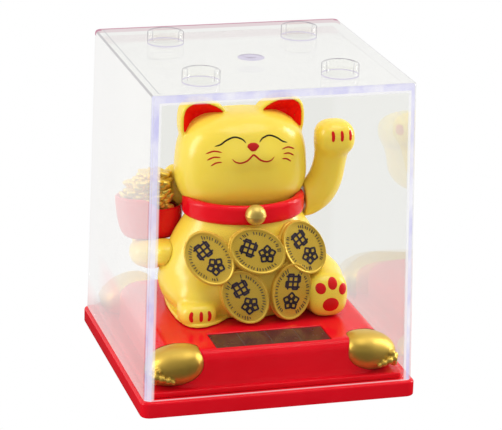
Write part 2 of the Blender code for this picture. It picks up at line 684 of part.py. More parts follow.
def bowl_form(offset):
    """A boat-shaped bowl: narrow at the foot, with both ends of its rim swept up."""
    steps = 24
    levels = [(42.0, 0.62), (44.0, 0.74), (46.5, 0.85), (49.5, 0.94), (52.0, 1.0)]
    bm = bmesh.new()
    rings = []
    for height, spread in levels:
        ring = []
        for step in range(steps):
            angle = 2 * math.pi * step / steps
            along, across = math.cos(angle), math.sin(angle)
            lift = 4.6 * abs(along) ** 3 * (height - 42.0) / 10.0
            ring.append(bm.verts.new((BOWL_CENTRE[0] + (BOWL_HALF[0] * spread + offset) * along,
                                      BOWL_CENTRE[1] + (BOWL_HALF[1] * spread + offset) * across,
                                      height + lift + (offset if height > 50 else -offset))))
        rings.append(ring)
    for low, high in zip(rings, rings[1:]):
        for a in range(steps):
            b = (a + 1) % steps
            bm.faces.new((low[a], low[b], high[b], high[a]))
    bm.faces.new(rings[0][::-1])
    middle = bm.verts.new((*BOWL_CENTRE, 51.8 + offset))
    for a in range(steps):
        bm.faces.new((rings[-1][a], rings[-1][(a + 1) % steps], middle))
    return shape_from(bm, "bowl")


def treasure(parent):
    """The red bowl and the gold heap that stands in it."""
    bowl = bowl_form(0.0)
    add_part(bowl, "treasure_bowl", parent, finish("treasure_bowl", RED, 0.2), 45)
    heap = ball((9.2, 5.6, 14.2), (*BOWL_CENTRE, 52.6), segments=16, rings=12)
    heap = keep_inside(heap, block((-60, 0, 50.0), (0, 40, 80)))
    for turn, row in ((0.0, 0), (0.5, 1), (0.0, 2)):
        count = (7, 5, 3)[row]
        height = (56.0, 60.5, 64.5)[row]
        shrink = (0.93, 0.78, 0.48)[row]
        for step in range(count):
            angle = 2 * math.pi * (step + turn) / count
            place = (BOWL_CENTRE[0] + 9.2 * shrink * math.cos(angle),
                     BOWL_CENTRE[1] + 5.3 * shrink * math.sin(angle), height)
            heap = join(heap, ball((2.4, 2.1, 1.8), place, segments=7, rings=4))
    heap = cut(heap, bowl_form(GAP), head_form(GAP), collar_space(), holding_arm_form(0.45))
    add_part(heap, "gold_heap", parent, finish("gold_heap", GOLD, 0.35, 1.0), 30)


# each coin: name, place across the belly, height, turn in its own plane, turn outwards,
# lean back, and distance of its middle from the belly
COINS = [("coin_lower_left", -5.2, 29.8, 60.0, -6.0, 6.0, 2.5),
         ("coin_lower_right", 10.9, 30.2, 98.0, 10.0, 6.0, 2.6),
         ("coin_upper_left", -16.0, 42.0, 50.0, -16.0, 17.0, 4.4),
         ("coin_upper_centre", -1.0, 44.6, 22.0, 0.0, 17.0, 4.2),
         ("coin_upper_right", 15.6, 43.6, 60.0, 14.0, 17.0, 4.4)]
COIN_HALF = (10.0, 7.6)
COIN_THICKNESS = 1.5
BACKING_THICKNESS = 1.1


def belly_point(x, z):
    """The front of the body at a place across it and a height."""
    outline = body_outline(0.0)
    reach = outline[-1][0]
    for (r_a, z_a), (r_b, z_b) in zip(outline, outline[1:]):
        if z_b <= z <= z_a:
            reach = r_b + (r_a - r_b) * (z - z_b) / (z_a - z_b)
    depth = BODY_DEPTH_RATIO * math.sqrt(reach ** 2 - x ** 2)
    return Vector((x, BODY_CENTRE_Y - depth, z))


def coin_plane(x, z, turn, outwards, lean, distance):
    """The placement of a coin: its face along +Z, its long axis along X, before placing."""
    upright = Matrix.Rotation(math.radians(90), 4, "X")
    face = (Matrix.Rotation(math.radians(outwards), 4, "Z")
            @ Matrix.Rotation(math.radians(-lean), 4, "X") @ upright)
    normal = face.to_3x3() @ Vector((0, 0, 1))
    place = belly_point(x, z) + normal * distance
    return Matrix.Translation(place) @ face @ Matrix.Rotation(math.radians(-turn), 4, "Z")


def coin_form(offset, place):
    """One coin moved out by the offset on every side."""
    sides = 26
    ring = [((COIN_HALF[0] + offset) * math.cos(2 * math.pi * n / sides),
             (COIN_HALF[1] + offset) * math.sin(2 * math.pi * n / sides)) for n in range(sides)]
    coin = outline_plate(ring, COIN_THICKNESS + 2 * offset, Matrix.Identity(4))
    coin = bevel(coin, 0.35, 1)
    coin.data.transform(coin_plane(*place))
    return coin


def coins(parent):
    """A gold backing that hugs the belly, and five oval coins in two layers on it."""
    outline = [(-21, 47), (-12, 52), (0, 53), (14, 53), (21, 49), (22, 42), (17, 32),
               (15, 23.5), (-8, 23.5), (-16, 34), (-23, 40)]
    upright = Matrix.Translation((0, -20, 0)) @ Matrix.Rotation(math.radians(90), 4, "X")
    backing = outline_plate(outline, 40, upright)
    backing = keep_inside(backing, body_form(GAP + BACKING_THICKNESS))
    backing = cut(backing, body_form(GAP), *cat_limbs(GAP))
    add_part(backing, "coin_backing", parent, finish("coin_backing", GOLD, 0.4, 1.0), 40)
    for name, *place in COINS:
        coin = coin_form(0.0, place)
        coin = cut(coin, *cat_limbs(GAP))
        if "lower" in name:
            coin = cut(coin, *[coin_form(GAP, other[1:]) for other in COINS[2:]])
        add_part(coin, name, parent, finish(name, GOLD, 0.4, 1.0), 40)


def fasteners(parent):
    """Every screw is its own solid."""
    steel = (0.55, 0.55, 0.56)
    corners = ("front_left", "back_left", "front_right", "back_right")
    for corner, (x, y) in zip(corners, BASE_SCREWS):
        name = "base_screw_" + corner
        shape = screw(x, y, 0.5, 1.6, 12.0)
        add_part(shape, name, parent, finish(name, steel, 0.3, 1.0), 40)
    for side, (x, y) in zip(("left", "right"), BOARD_SCREWS):
        name = "board_screw_" + side
        shape = screw(x, y, BOARD_TOP + GAP, BOARD_TOP + 1.5, 2.6, 2.0, 1.0)
        add_part(shape, name, parent, finish(name, steel, 0.3, 1.0), 40)
    for side, (x, y) in zip(("left", "right"), FRAME_SCREWS):
        name = "frame_screw_" + side
        low = MOUND_TOP + 2 * GAP + 1.6
        shape = screw(x, y, low, low + 1.1, MOUND_TOP - 4.5, 2.0, 1.0)
        add_part(shape, name, parent, finish(name, steel, 0.3, 1.0), 40)
    for side, (x, y) in zip(("left", "right"), BODY_SCREWS):
        name = "body_screw_" + side
        high = MOUND_TOP - MOUND_WALL - GAP
        shape = screw(x, y, high - 1.1, high, BODY_FLOOR + 4.0, 2.0, 1.0)
        add_part(shape, name, parent, finish(name, steel, 0.3, 1.0), 40)


def build():
    base = empty("base", (0, 0, 0))
    lift = empty("cover_lift_guide", (0, 0, 0), base)
    pivot = empty("arm_swing_pivot", PIVOT, base)
    base_tray(base)
    pedestal_shell(base)
    clear_cover(lift)
    for name, sign_x, sign_y in (("ingot_front_left", -1, -1), ("ingot_front_right", 1, -1),
                                 ("ingot_back_left", -1, 1), ("ingot_back_right", 1, 1)):
        ingot(name, base, sign_x, sign_y)
    solar_cell(base)
    solar_wire("solar_wire_red", base, -3.0, (0.6, 0.02, 0.02))
    solar_wire("solar_wire_black", base, 3.0, (0.02, 0.02, 0.02))
    electronics(base)
    axle_frame(base)
    swing(pivot)
    body_shells(base)
    head_shells(base)
    collar(base)
    bell(base)
    holding_arm(base)
    treasure(base)
    coins(base)
    fasteners(base)


build()
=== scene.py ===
"""Looks of the beckoning cat figurine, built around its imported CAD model.

Shapes are worked out in millimetres in the CAD frame and turned into metres on the way out.
"""
import math

import bmesh
import bpy
import numpy as np
from mathutils import Matrix, Vector


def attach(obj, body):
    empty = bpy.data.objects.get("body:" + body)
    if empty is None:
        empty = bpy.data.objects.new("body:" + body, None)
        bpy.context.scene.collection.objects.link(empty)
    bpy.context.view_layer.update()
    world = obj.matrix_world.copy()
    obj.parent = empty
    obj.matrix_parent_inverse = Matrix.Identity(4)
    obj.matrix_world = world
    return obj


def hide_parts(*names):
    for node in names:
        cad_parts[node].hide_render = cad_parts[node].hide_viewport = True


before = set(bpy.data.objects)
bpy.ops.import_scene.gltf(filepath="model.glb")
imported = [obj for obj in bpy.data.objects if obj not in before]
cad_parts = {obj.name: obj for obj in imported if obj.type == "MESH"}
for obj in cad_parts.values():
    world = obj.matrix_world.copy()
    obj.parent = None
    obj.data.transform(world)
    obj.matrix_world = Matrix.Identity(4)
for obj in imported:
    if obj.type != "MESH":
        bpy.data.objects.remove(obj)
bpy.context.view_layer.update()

MM = 0.001
FINE = 0.5          # grid of the moulded forms
FINER = 0.32       # grid of the small ones
HAIR = 0.12                                # gap along a mould seam


# ------------------------------------------------------------------ materials

def node_tree(name):
    material = bpy.data.materials.new(name)
    material.use_nodes = True
    tree = material.node_tree
    return material, tree, tree.nodes["Principled BSDF"]


def feed(tree, value, socket):
    """Links a socket to an input, or sets the input to a number, a vector or a colour."""
    if isinstance(value, bpy.types.NodeSocket):
        tree.links.new(value, socket)
    elif socket.type == "RGBA":
        socket.default_value = (*value, 1.0)
    else:
        socket.default_value = value


def add(tree, kind, links=(), **settings):
    """Adds a node, sets its inputs or attributes, and links (from socket, input) pairs."""
    node = tree.nodes.new(kind)
    for key, value in settings.items():
        if key in node.inputs:
            node.inputs[key].default_value = value
        else:
            setattr(node, key, value)
    for source, target in links:
        tree.links.new(source, node.inputs[target])
    return node


def place(tree):
    return add(tree, "ShaderNodeTexCoord").outputs["Object"]


def noise(tree, scale, detail=3.0, rough=0.5, vector=None):
    node = add(tree, "ShaderNodeTexNoise", [(vector or place(tree), "Vector")], Scale=scale,
               Detail=detail, Roughness=rough)
    return node.outputs["Fac"]


def remap(tree, value, low, high, new_low=0.0, new_high=1.0):
    """Carries low to new_low and high to new_high, and stays within the new range."""
    node = add(tree, "ShaderNodeMapRange", [(value, "Value")])
    for key, number in (("From Min", low), ("From Max", high), ("To Min", new_low),
                        ("To Max", new_high)):
        node.inputs[key].default_value = number
    return node.outputs["Result"]


def blend_colour(tree, factor, first, second):
    node = add(tree, "ShaderNodeMix", data_type="RGBA")
    for index, value in ((0, factor), (6, first), (7, second)):
        feed(tree, value, node.inputs[index])
    return node.outputs[2]


def bump(tree, height, strength, distance, below=None):
    """A bumped normal, on top of another one if that is given."""
    node = add(tree, "ShaderNodeBump", [(height, "Height")], Strength=strength, Distance=distance)
    if below:
        tree.links.new(below, node.inputs["Normal"])
    return node.outputs["Normal"]


def surface(name, colour, second, roughness, metallic=0.0, cloud=60.0, grain=1500.0,
            grain_depth=0.00002, ripple=0.0, coat=0.0, subsurface=0.0, specular=0.5):
    """A moulded, painted or plated surface: two close tones, uneven gloss and a fine grain."""
    material, tree, shader = node_tree(name)
    tone = blend_colour(tree, remap(tree, noise(tree, cloud), 0.35, 0.65), colour, second)
    gloss = remap(tree, noise(tree, cloud * 4), 0.3, 0.7, roughness - GLOSS_SPREAD,
                  roughness + GLOSS_SPREAD)
    normal = bump(tree, noise(tree, grain, 2.0), 0.25, grain_depth)
    if ripple:
        normal = bump(tree, noise(tree, 120.0, 1.0), 0.3, ripple, normal)
    settings = {"Base Color": tone, "Roughness": gloss, "Normal": normal, "Metallic": metallic,
                "Specular IOR Level": specular, "Coat Weight": coat, "Coat Roughness": 0.06,
                "Subsurface Weight": subsurface, "Subsurface Radius": (1.0, 0.45, 0.1),
                "Subsurface Scale": 0.0025}
    for key, value in settings.items():
        feed(tree, value, shader.inputs[key])
    return material


def maths(tree, operation, *values):
    """A math node on sockets or numbers."""
    node = add(tree, "ShaderNodeMath", operation=operation)
    for socket, value in zip(node.inputs, values):
        feed(tree, value, socket)
    return node.outputs[0]


def fold(tree, operation, first, *others):
    """The sum, product, least or most of any number of sockets or numbers."""
    for other in others:
        first = maths(tree, operation, first, other)
    return first


def times(tree, *values):
    return fold(tree, "MULTIPLY", *values)


def less(tree, whole, part):
    return maths(tree, "SUBTRACT", whole, part)


def mixed(tree, factor, first, second):
    """A mix of two shaders."""
    node = add(tree, "ShaderNodeMixShader", [(first, 1), (second, 2)])
    feed(tree, factor, node.inputs[0])
    return node.outputs[0]


def coordinates(tree, vector):
    """The x, y and z sockets of a vector."""
    return add(tree, "ShaderNodeSeparateXYZ", [(vector, "Vector")]).outputs


def clear_plastic():
    """Clear moulded plastic: walls that mirror at a glancing angle, with painted light laid over them
    as emission: whitening at a low angle, lavender borders and edge lines.
    """
    material, tree, shader = node_tree("cover_clear_plastic")
    tree.nodes.remove(shader)
    geometry = add(tree, "ShaderNodeNewGeometry").outputs
    facing = maths(tree, "ABSOLUTE", add(
        tree, "ShaderNodeVectorMath", [(geometry["Normal"], 0), (geometry["Incoming"], 1)],
        operation="DOT_PRODUCT").outputs["Value"])
    glance = less(tree, 1.0, facing)
    path = add(tree, "ShaderNodeLightPath").outputs
    looked = maths(tree, "MAXIMUM", path["Is Camera Ray"], path["Is Glossy Ray"])
    mirror = maths(tree, "MULTIPLY_ADD", maths(tree, "POWER", glance, MIRROR_POWER), 0.95, 0.004)

    x, y, height = coordinates(tree, add(
        tree, "ShaderNodeVectorMath", [(place(tree), 0)], operation="SCALE",
        Scale=1 / MM).outputs[0])
    half = remap(tree, height, COVER_LOW, COVER_HIGH, COVER_FOOT, COVER_HEAD)
    below_lid = less(tree, COVER_HIGH, height)
    depths = [less(tree, half, maths(tree, "ABSOLUTE", x)),
              less(tree, half, maths(tree, "ABSOLUTE", y)), below_lid]

    def near(width, soft=0.08):
        """How many outer faces a point is within a width of, less one, from 0 to 1."""
        flags = [remap(tree, depth, width + soft, width - soft) for depth in depths]
        return remap(tree, fold(tree, "ADD", *flags), 1.0, 2.0)

    outer = remap(tree, fold(tree, "MINIMUM", *depths), 0.9, 0.6)
    stud = remap(tree, height, COVER_HIGH + 0.04, COVER_HIGH + 0.1)
    wall = less(tree, 1.0, stud)
    seen = times(tree, outer, less(tree, 1.0, geometry["Backfacing"]), wall, looked)
    facing_on = times(tree, seen, remap(tree, facing, 0.42, 0.7))
    # A lavender border glows round each outer wall, with a white line beside it and along the cover's
    # foot: painted highlights along the edges.
    border = times(tree, near(BORDER), facing_on)
    foot = times(tree, facing_on, remap(tree, height, COVER_LOW + 0.6, COVER_LOW + 0.45))
    beside = times(tree, near(BORDER + 0.75, 0.25), facing_on)
    highlight_stripe = maths(tree, "MAXIMUM", less(tree, beside, border), foot)
    # Thin grey lines are painted along the edges, pinkish red along the back, with a second grey line
    # beside the lid's left edge: painted reflections of the edges.
    rear = remap(tree, y, 40.5, 41.5)
    back_edge = times(tree, rear, remap(tree, below_lid, 1.8, 1.6), near(2.1, 0.3))
    line = times(tree, maths(tree, "MAXIMUM", near(0.6, 0.2), back_edge), outer, wall)
    on_lid = remap(tree, below_lid, 0.3, 0.1)
    second = times(tree, less(tree, near(3.0, 0.12), near(2.6, 0.12)), on_lid, seen,
                   remap(tree, x, -40.0, -41.0))
    # At each stud a dark line is painted along its glancing sides and a lavender glow round its foot:
    # painted shade and painted light of the refracting ring.
    rim = times(tree, stud, remap(tree, glance, 0.74, 0.97))
    fillet = times(tree, stud, remap(tree, height, COVER_HIGH + 0.6, COVER_HIGH + 0.45))

    stretch = add(tree, "ShaderNodeVectorMath", [(place(tree), 0)], operation="MULTIPLY")
    stretch.inputs[1].default_value = (90.0, 90.0, 45.0)
    streak = noise(tree, 1.0, 4.0, 0.6, stretch.outputs[0])
    lavender = blend_colour(tree, remap(tree, streak, 0.35, 0.65), (0.60, 0.58, 0.90),
                            (0.93, 0.92, 0.98))
    through = add(tree, "ShaderNodeBsdfTransparent")
    # At a low angle the walls pass more light than falls on them, up to about 1.17 times on outer
    # faces seen from outside: painted light on what lies behind.
    transmission_gain = blend_colour(tree, seen, (1.05, 1.05, 1.045), (1.17, 1.16, 1.15))
    tree.links.new(blend_colour(tree, remap(tree, glance, 0.5, 0.75), (0.995, 0.996, 0.985),
                                transmission_gain), through.inputs["Color"])
    shine = add(tree, "ShaderNodeBsdfGlossy", [
        (bump(tree, noise(tree, 40.0, 1.0), 0.04, 0.0001), "Normal")], Roughness=0.02)
    glass = mixed(tree, times(tree, mirror, looked), through.outputs[0], shine.outputs[0])

    # Seen at a low angle the outer walls are painted whiter, a painted reflection of the white
    # surround, and greyer on the lid. Low down, mostly at the front, this painted whitening is
    # stronger and pink, a painted glow of the red base through the wall.
    red_base_glow = maths(tree, "MAXIMUM", times(tree, remap(tree, height, 34.0, 29.0),
                                         remap(tree, y, 30.0, 2.0)),
                  remap(tree, height, 10.0, 18.0, 0.8, 0.0))
    painted_whitening = times(tree, seen, remap(tree, red_base_glow, 0.0, 1.0, PAINTED_WHITENING, PAINTED_WHITENING * 1.5),
                 maths(tree, "POWER", maths(tree, "DIVIDE", glance, 0.74), 3.0))
    whitening_tint = blend_colour(tree, red_base_glow, (0.955, 0.945, 0.935), (1.0, 0.72, 0.72))
    whitening_tint = blend_colour(tree, on_lid, whitening_tint, (0.84, 0.845, 0.82))
    edge_tone = blend_colour(tree, rear, (0.50, 0.48, 0.50), (0.55, 0.22, 0.32))
    # Each layer below is an emission over the clear wall, painted light and shade: the whitening, the
    # edge lines, the stud lines and the lavender borders with their white stripe.
    layers = ((maths(tree, "MINIMUM", painted_whitening, 0.65), 1.0, whitening_tint), (line, 0.85, edge_tone),
              (second, 0.6, (0.5, 0.5, 0.52)), (fillet, 0.6, (0.62, 0.55, 0.76)),
              (border, 0.86, lavender), (highlight_stripe, 0.55, (0.97, 0.96, 1.0)),
              (rim, 0.95, (0.26, 0.22, 0.27)))
    for mask, share, colour in layers:
        glow = add(tree, "ShaderNodeEmission")
        feed(tree, colour, glow.inputs["Color"])
        glass = mixed(tree, times(tree, mask, share), glass, glow.outputs[0])
    tree.links.new(glass, tree.nodes["Material Output"].inputs["Surface"])
    return material


GLOSS_SPREAD = 0.03                        # how far a surface's roughness strays
COVER_LOW, COVER_HIGH = 5.6, 110.3
COVER_FOOT, COVER_HEAD = 46.95, 44.9       # half widths at its foot and at its lid
COVER_WALL = 2.2
MIRROR_POWER = 4.2
PAINTED_WHITENING = 0.37                                # how much the outer walls are painted whiter at a low angle, a painted reflection of the surround
BORDER = 2.4                               # width of the painted lavender glow seen round a wall

CREAM = surface("cat_cream_plastic", (0.87, 0.635, 0.060), (0.90, 0.685, 0.080), 0.23,
                subsurface=0.12, grain_depth=0.000012, ripple=0.00012)
RED = surface("base_red_plastic", (0.70, 0.002, 0.010), (0.76, 0.003, 0.013), 0.18,
              ripple=0.00015, specular=0.18)
COLLAR_RED = surface("collar_red_plastic", (0.72, 0.002, 0.010), (0.80, 0.004, 0.014), 0.22,
                     ripple=0.0001, specular=0.22)
EAR_RED = surface("painted_ear_red", (0.92, 0.003, 0.001), (0.98, 0.006, 0.002), 0.45,
                  grain=2600.0, grain_depth=0.00003, specular=0.12)
PAINT_RED = surface("painted_red", (0.60, 0.003, 0.004), (0.68, 0.006, 0.006), 0.4,
                    grain=2600.0, grain_depth=0.00003, specular=0.2)
FACE_RED = surface("painted_deep_red", (0.42, 0.004, 0.003), (0.50, 0.008, 0.006), 0.45,
                   grain=2600.0, specular=0.2)
EYE_BLACK = surface("painted_black", (0.012, 0.010, 0.008), (0.02, 0.015, 0.01), 0.5,
                    grain=2600.0, specular=0.1)
GOLD = surface("coin_satin_gold", (0.78, 0.50, 0.055), (0.86, 0.57, 0.075), 0.40, 0.5,
               grain=2200.0, grain_depth=0.00003)
INGOT_GOLD = surface("ingot_satin_gold", (0.64, 0.41, 0.065), (0.72, 0.48, 0.085), 0.40, 0.8,
                     grain=2600.0, grain_depth=0.00004)
HEAP_GOLD = surface("heap_bright_gold", (0.82, 0.57, 0.10), (0.92, 0.66, 0.15), 0.30, 0.7,
                    grain=1800.0, grain_depth=0.00006, ripple=0.0003)
BELL_GOLD = surface("bell_satin_gold", (0.66, 0.45, 0.10), (0.74, 0.52, 0.13), 0.4, 0.7)
INK = surface("coin_ink", (0.022, 0.012, 0.022), (0.05, 0.03, 0.05), 0.5, grain=3000.0)
CLEAR = clear_plastic()


# ------------------------------------------------------------------ fields and meshes

def bulge(p, centre, radii, power_xy=2.0, power_z=2.0):
    """A superellipsoid's distance, near enough: power 2 is an ellipsoid, more is squarer."""
    x, y, z = (np.abs(c - m) / r + 1e-6 for c, m, r in zip(p, centre, radii))
    flat = x ** power_xy + y ** power_xy
    total = flat ** (power_z / power_xy) + z ** power_z
    outer = total ** (1 / power_z - 1)
    inner = outer * flat ** (power_z / power_xy - 1)
    slope = np.sqrt((inner * x ** (power_xy - 1) / radii[0]) ** 2
                    + (inner * y ** (power_xy - 1) / radii[1]) ** 2
                    + (outer * z ** (power_z - 1) / radii[2]) ** 2)
    return (total ** (1 / power_z) - 1) / slope


def meld(a, b, width):
    """The union of two fields with a fillet."""
    near = np.maximum(width - np.abs(a - b), 0) / width
    return np.minimum(a, b) - near * near * width / 4


def carve(a, b, width=0.05):
    """The first field without the second, with a rounded rim."""
    return -meld(-a, b, width)


def clip(a, b, width=0.05):
    return -meld(-a, -b, width)


def chain(p, run):
    """A tube through points whose fourth numbers are its radii."""
    best = None
    for (*a, r_a), (*b, r_b) in zip(run, run[1:]):
        along = np.array(b) - a
        t = sum((c - s) * d for c, s, d in zip(p, a, along)) / along.dot(along)
        t = np.clip(t, 0, 1)
        gap = np.sqrt(sum((c - s - t * d) ** 2 for c, s, d in zip(p, a, along)))
        gap = gap - (r_a + t * (r_b - r_a))
        best = gap if best is None else np.minimum(best, gap)
    return best


def eased(points, per_span):
    """A smooth Catmull-Rom run through the given rows of numbers."""
    points = [np.array(p, float) for p in points]
    run = [2 * points[0] - points[1]] + points + [2 * points[-1] - points[-2]]
    smooth = []
    for before, a, b, after in zip(run, run[1:], run[2:], run[3:]):
        for step in range(per_span):
            t = step / per_span
            smooth.append(0.5 * (2 * a + (b - before) * t
                                 + (2 * before - 5 * a + 4 * b - after) * t * t
                                 + (3 * a - before - 3 * b + after) * t ** 3))
    return smooth + [points[-1]]


def closed_curve(points, per_span):
    """An eased outline that comes back to its first point."""
    return [tuple(p) for p in eased(points + points[:1], per_span)][:-1]


def flattened(x, y, ratio):
    """The distance from a flattened upright axis, and the slope of that distance."""
    reach = np.sqrt(x ** 2 + (y / ratio) ** 2 + 1e-6)
    return reach, np.sqrt(x ** 2 + (y / ratio ** 2) ** 2 + 1e-6) / reach


def outline_distance(u, v, outline):
    """The signed distance from a closed outline in a plane, negative inside."""
    best, inside = None, np.zeros(u.shape, bool)
    for (au, av), (bu, bv) in zip(outline, outline[1:] + outline[:1]):
        du, dv = bu - au, bv - av
        t = np.clip(((u - au) * du + (v - av) * dv) / (du * du + dv * dv), 0, 1)
        gap = (u - au - t * du) ** 2 + (v - av - t * dv) ** 2
        best = gap if best is None else np.minimum(best, gap)
        if av != bv:
            crosses = ((av > v) != (bv > v)) & (u < du * (v - av) / dv + au)
            inside ^= crosses
    return np.where(inside, -1, 1) * np.sqrt(best)


def plate(flat, across, half, rounding):
    """A rounded plate from a flat distance and the distance across its thickness."""
    a = flat + rounding
    b = np.abs(across) - half + rounding
    return (np.minimum(np.maximum(a, b), 0)
            + np.sqrt(np.maximum(a, 0) ** 2 + np.maximum(b, 0) ** 2) - rounding)


def net(field, low, high, step):
    """Surface nets: points and quads where the field crosses zero, settled on the surface."""
    axes = [np.arange(a, b + step, step) for a, b in zip(low, high)]
    value = field(np.meshgrid(*axes, indexing="ij"))
    cells = [n - 1 for n in value.shape]
    total = np.zeros((3, *cells))
    count = np.zeros(cells)
    crossings = []
    for axis in range(3):
        one, two = (axis + 1) % 3, (axis + 2) % 3
        a = np.take(value, range(value.shape[axis] - 1), axis)
        b = np.take(value, range(1, value.shape[axis]), axis)
        crossing = (a < 0) != (b < 0)
        part = np.where(crossing, a / np.where(crossing, a - b, 1), 0)
        crossings.append((crossing, a < 0))
        for i in (0, 1):
            for j in (0, 1):
                window = [slice(None)] * 3
                window[one] = slice(i, i + cells[one])
                window[two] = slice(j, j + cells[two])
                here = crossing[tuple(window)]
                count += here
                total[axis] += part[tuple(window)]
                total[one] += i * here
                total[two] += j * here
    active = count > 0
    number = np.full(cells, -1)
    number[active] = np.arange(active.sum())
    index = np.argwhere(active)
    points = (index + (total[:, active] / count[active]).T) * step + np.array(low)
    quads = []
    for axis, (crossing, inside) in enumerate(crossings):
        one, two = (axis + 1) % 3, (axis + 2) % 3
        where = np.argwhere(crossing)
        ok = (where[:, one] > 0) & (where[:, two] > 0)
        ok &= (where[:, one] < value.shape[one] - 1) & (where[:, two] < value.shape[two] - 1)
        where = where[ok]
        ring = []
        for i, j in ((1, 1), (0, 1), (0, 0), (1, 0)):
            cell = where.copy()
            cell[:, one] -= i
            cell[:, two] -= j
            ring.append(number[tuple(cell.T)])
        ring = np.array(ring).T
        flip = ~inside[tuple(where.T)]
        ring[flip] = ring[flip][:, ::-1]
        quads.append(ring)
    return settle(field, points, step), np.concatenate(quads)


def slope_at(field, points, reach=0.04):
    """The field and its gradient at points."""
    here = field(tuple(points.T))
    rise = np.empty_like(points)
    for axis in range(3):
        shift = np.zeros(3)
        shift[axis] = reach
        rise[:, axis] = field(tuple((points + shift).T)) - field(tuple((points - shift).T))
    return here, rise / (2 * reach)


def settle(field, points, step):
    start = points.copy()
    for _ in range(3):
        here, rise = slope_at(field, points)
        size = np.maximum((rise ** 2).sum(1), 0.05)
        points = points - (here / size)[:, None] * rise
        points = np.clip(points, start - step * 0.7, start + step * 0.7)
    return points


def added(name, data):
    """A new object in the scene."""
    obj = bpy.data.objects.new(name, data)
    bpy.context.scene.collection.objects.link(obj)
    return obj


def piece(name, points, faces, material, **options):
    """Millimetre points and faces become a finished piece that rides on a body."""
    mesh = bpy.data.meshes.new(name)
    mesh.from_pydata((np.array(points) * MM).tolist(), [], [list(map(int, f)) for f in faces])
    mesh.validate()
    return hand_over(added(name, mesh), material, **options)


def hand_over(obj, material, body="base", node=None, sharp=40):
    """Finishes a piece and lets it ride on a body, in place of a CAD node if one is named."""
    obj.data.materials.clear()
    obj.data.materials.append(material)
    obj.data.shade_smooth()
    obj.data.set_sharp_from_angle(angle=math.radians(sharp))
    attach(obj, body)
    if node:
        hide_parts(node)
    return obj


def moulded(name, field, low, high, material, step=None, **options):
    points, quads = net(field, low, high, step or FINE)
    return piece(name, points, quads, material, **options)


def halves(part, shell, seam, low, high):
    """A hollow form as a front and a back moulding that meet at a seam across Y."""
    def front(p):
        return clip(shell(p), p[1] - seam + HAIR / 2)

    def back(p):
        return clip(shell(p), seam + HAIR / 2 - p[1])

    moulded(part + "_front_moulding", front, low, (high[0], seam + 1, high[2]), CREAM,
            node=part + "_front_shell")
    moulded(part + "_back_moulding", back, (low[0], seam - 1, low[2]), high, CREAM,
            node=part + "_back_shell")


def ring_faces(rings, steps):
    """Quads between rings of points that are numbered in turn, with a cap at each end."""
    faces = []
    for r in range(rings - 1):
        for a in range(steps):
            b = (a + 1) % steps
            faces.append([r * steps + a, r * steps + b, (r + 1) * steps + b, (r + 1) * steps + a])
    return faces + [list(range(steps))[::-1], [(rings - 1) * steps + a for a in range(steps)]]


def sheet(name, grid, normals, heights, depth, material, wrap=False, body="base"):
    """A thin painted patch on a surface: a grid of points raised by heights, with a back."""
    rows, columns = grid.shape[:2]
    front = grid + normals * heights[..., None]
    back = grid - normals * depth
    points = np.concatenate([front.reshape(-1, 3), back.reshape(-1, 3)])
    offset = rows * columns
    faces = []
    for r in range(rows - 1):
        for c in range(columns if wrap else columns - 1):
            d = (c + 1) % columns
            quad = [r * columns + c, (r + 1) * columns + c, (r + 1) * columns + d, r * columns + d]
            faces += [quad, [offset + v for v in quad[::-1]]]
    last_row = [(rows - 1) * columns + c for c in range(columns)]
    if wrap:
        rim = last_row
        inner = list(range(columns))
        faces += [inner, [offset + v for v in inner[::-1]]]
    else:
        rim = (list(range(columns)) + [r * columns + columns - 1 for r in range(1, rows - 1)]
               + last_row[::-1] + [r * columns for r in range(rows - 2, 0, -1)])
    faces += [[a, b, offset + b, offset + a] for a, b in zip(rim, rim[1:] + rim[:1])]
    obj = piece(name, points, faces, material, body=body)
    bm = bmesh.new()
    bm.from_mesh(obj.data)
    bmesh.ops.recalc_face_normals(bm, faces=bm.faces)
    bm.to_mesh(obj.data)
    bm.free()


def front_of(canvas, x, z):
    """Where lines along Y first meet a canvas: its field, searched from a near to a far y."""
    field, near, far = canvas
    low, high = np.full(x.shape, float(near)), np.full(x.shape, float(far))
    for _ in range(30):
        middle = (low + high) / 2
        outside = field((x, middle, z)) > 0
        low = np.where(outside, middle, low)
        high = np.where(outside, high, middle)
    points = np.stack([x, (low + high) / 2, z], -1)
    _, rise = slope_at(field, points.reshape(-1, 3))
    rise /= np.linalg.norm(rise, axis=1)[:, None]
    return points, rise.reshape(points.shape)


def stroke(name, canvas, path, width, material, height=0.1, body="base"):
    """A painted line whose ends taper, laid on a canvas from the front."""
    run = np.array(eased(path, 8))
    along = np.gradient(run, axis=0)
    along /= np.linalg.norm(along, axis=1)[:, None]
    side = np.stack([-along[:, 1], along[:, 0]], 1)
    t = np.linspace(-1, 1, len(run))
    half = width / 2 * np.sqrt(np.maximum(1 - t ** 4, 0.02))
    across = np.linspace(-1, 1, 5)
    flat = run[:, None] + side[:, None] * (half[:, None] * across)[..., None]
    grid, normals = front_of(canvas, flat[..., 0], flat[..., 1])
    heights = height * (1 - 0.7 * across ** 2)[None, :] * np.ones((len(run), 1))
    sheet(name, grid, normals, heights, 0.15, material, body=body)


def blot(name, canvas, centre, half, material, height=0.25, shape=np.ones_like):
    """A painted or raised spot laid on a canvas from the front."""
    spokes, rings = 40, 9
    angle = np.linspace(0, 2 * math.pi, spokes, endpoint=False)
    spread = np.linspace(0.04, 1, rings)
    u = half[0] * spread[:, None] * (shape(angle) * np.cos(angle))[None]
    v = half[1] * spread[:, None] * (shape(angle) * np.sin(angle))[None]
    grid, normals = front_of(canvas, centre[0] + u, centre[1] + v)
    heights = height * np.sqrt(1.02 - spread ** 2)[:, None] * np.ones((1, spokes))
    sheet(name, grid, normals, heights, 0.2, material, wrap=True)


# ------------------------------------------------------------------ head

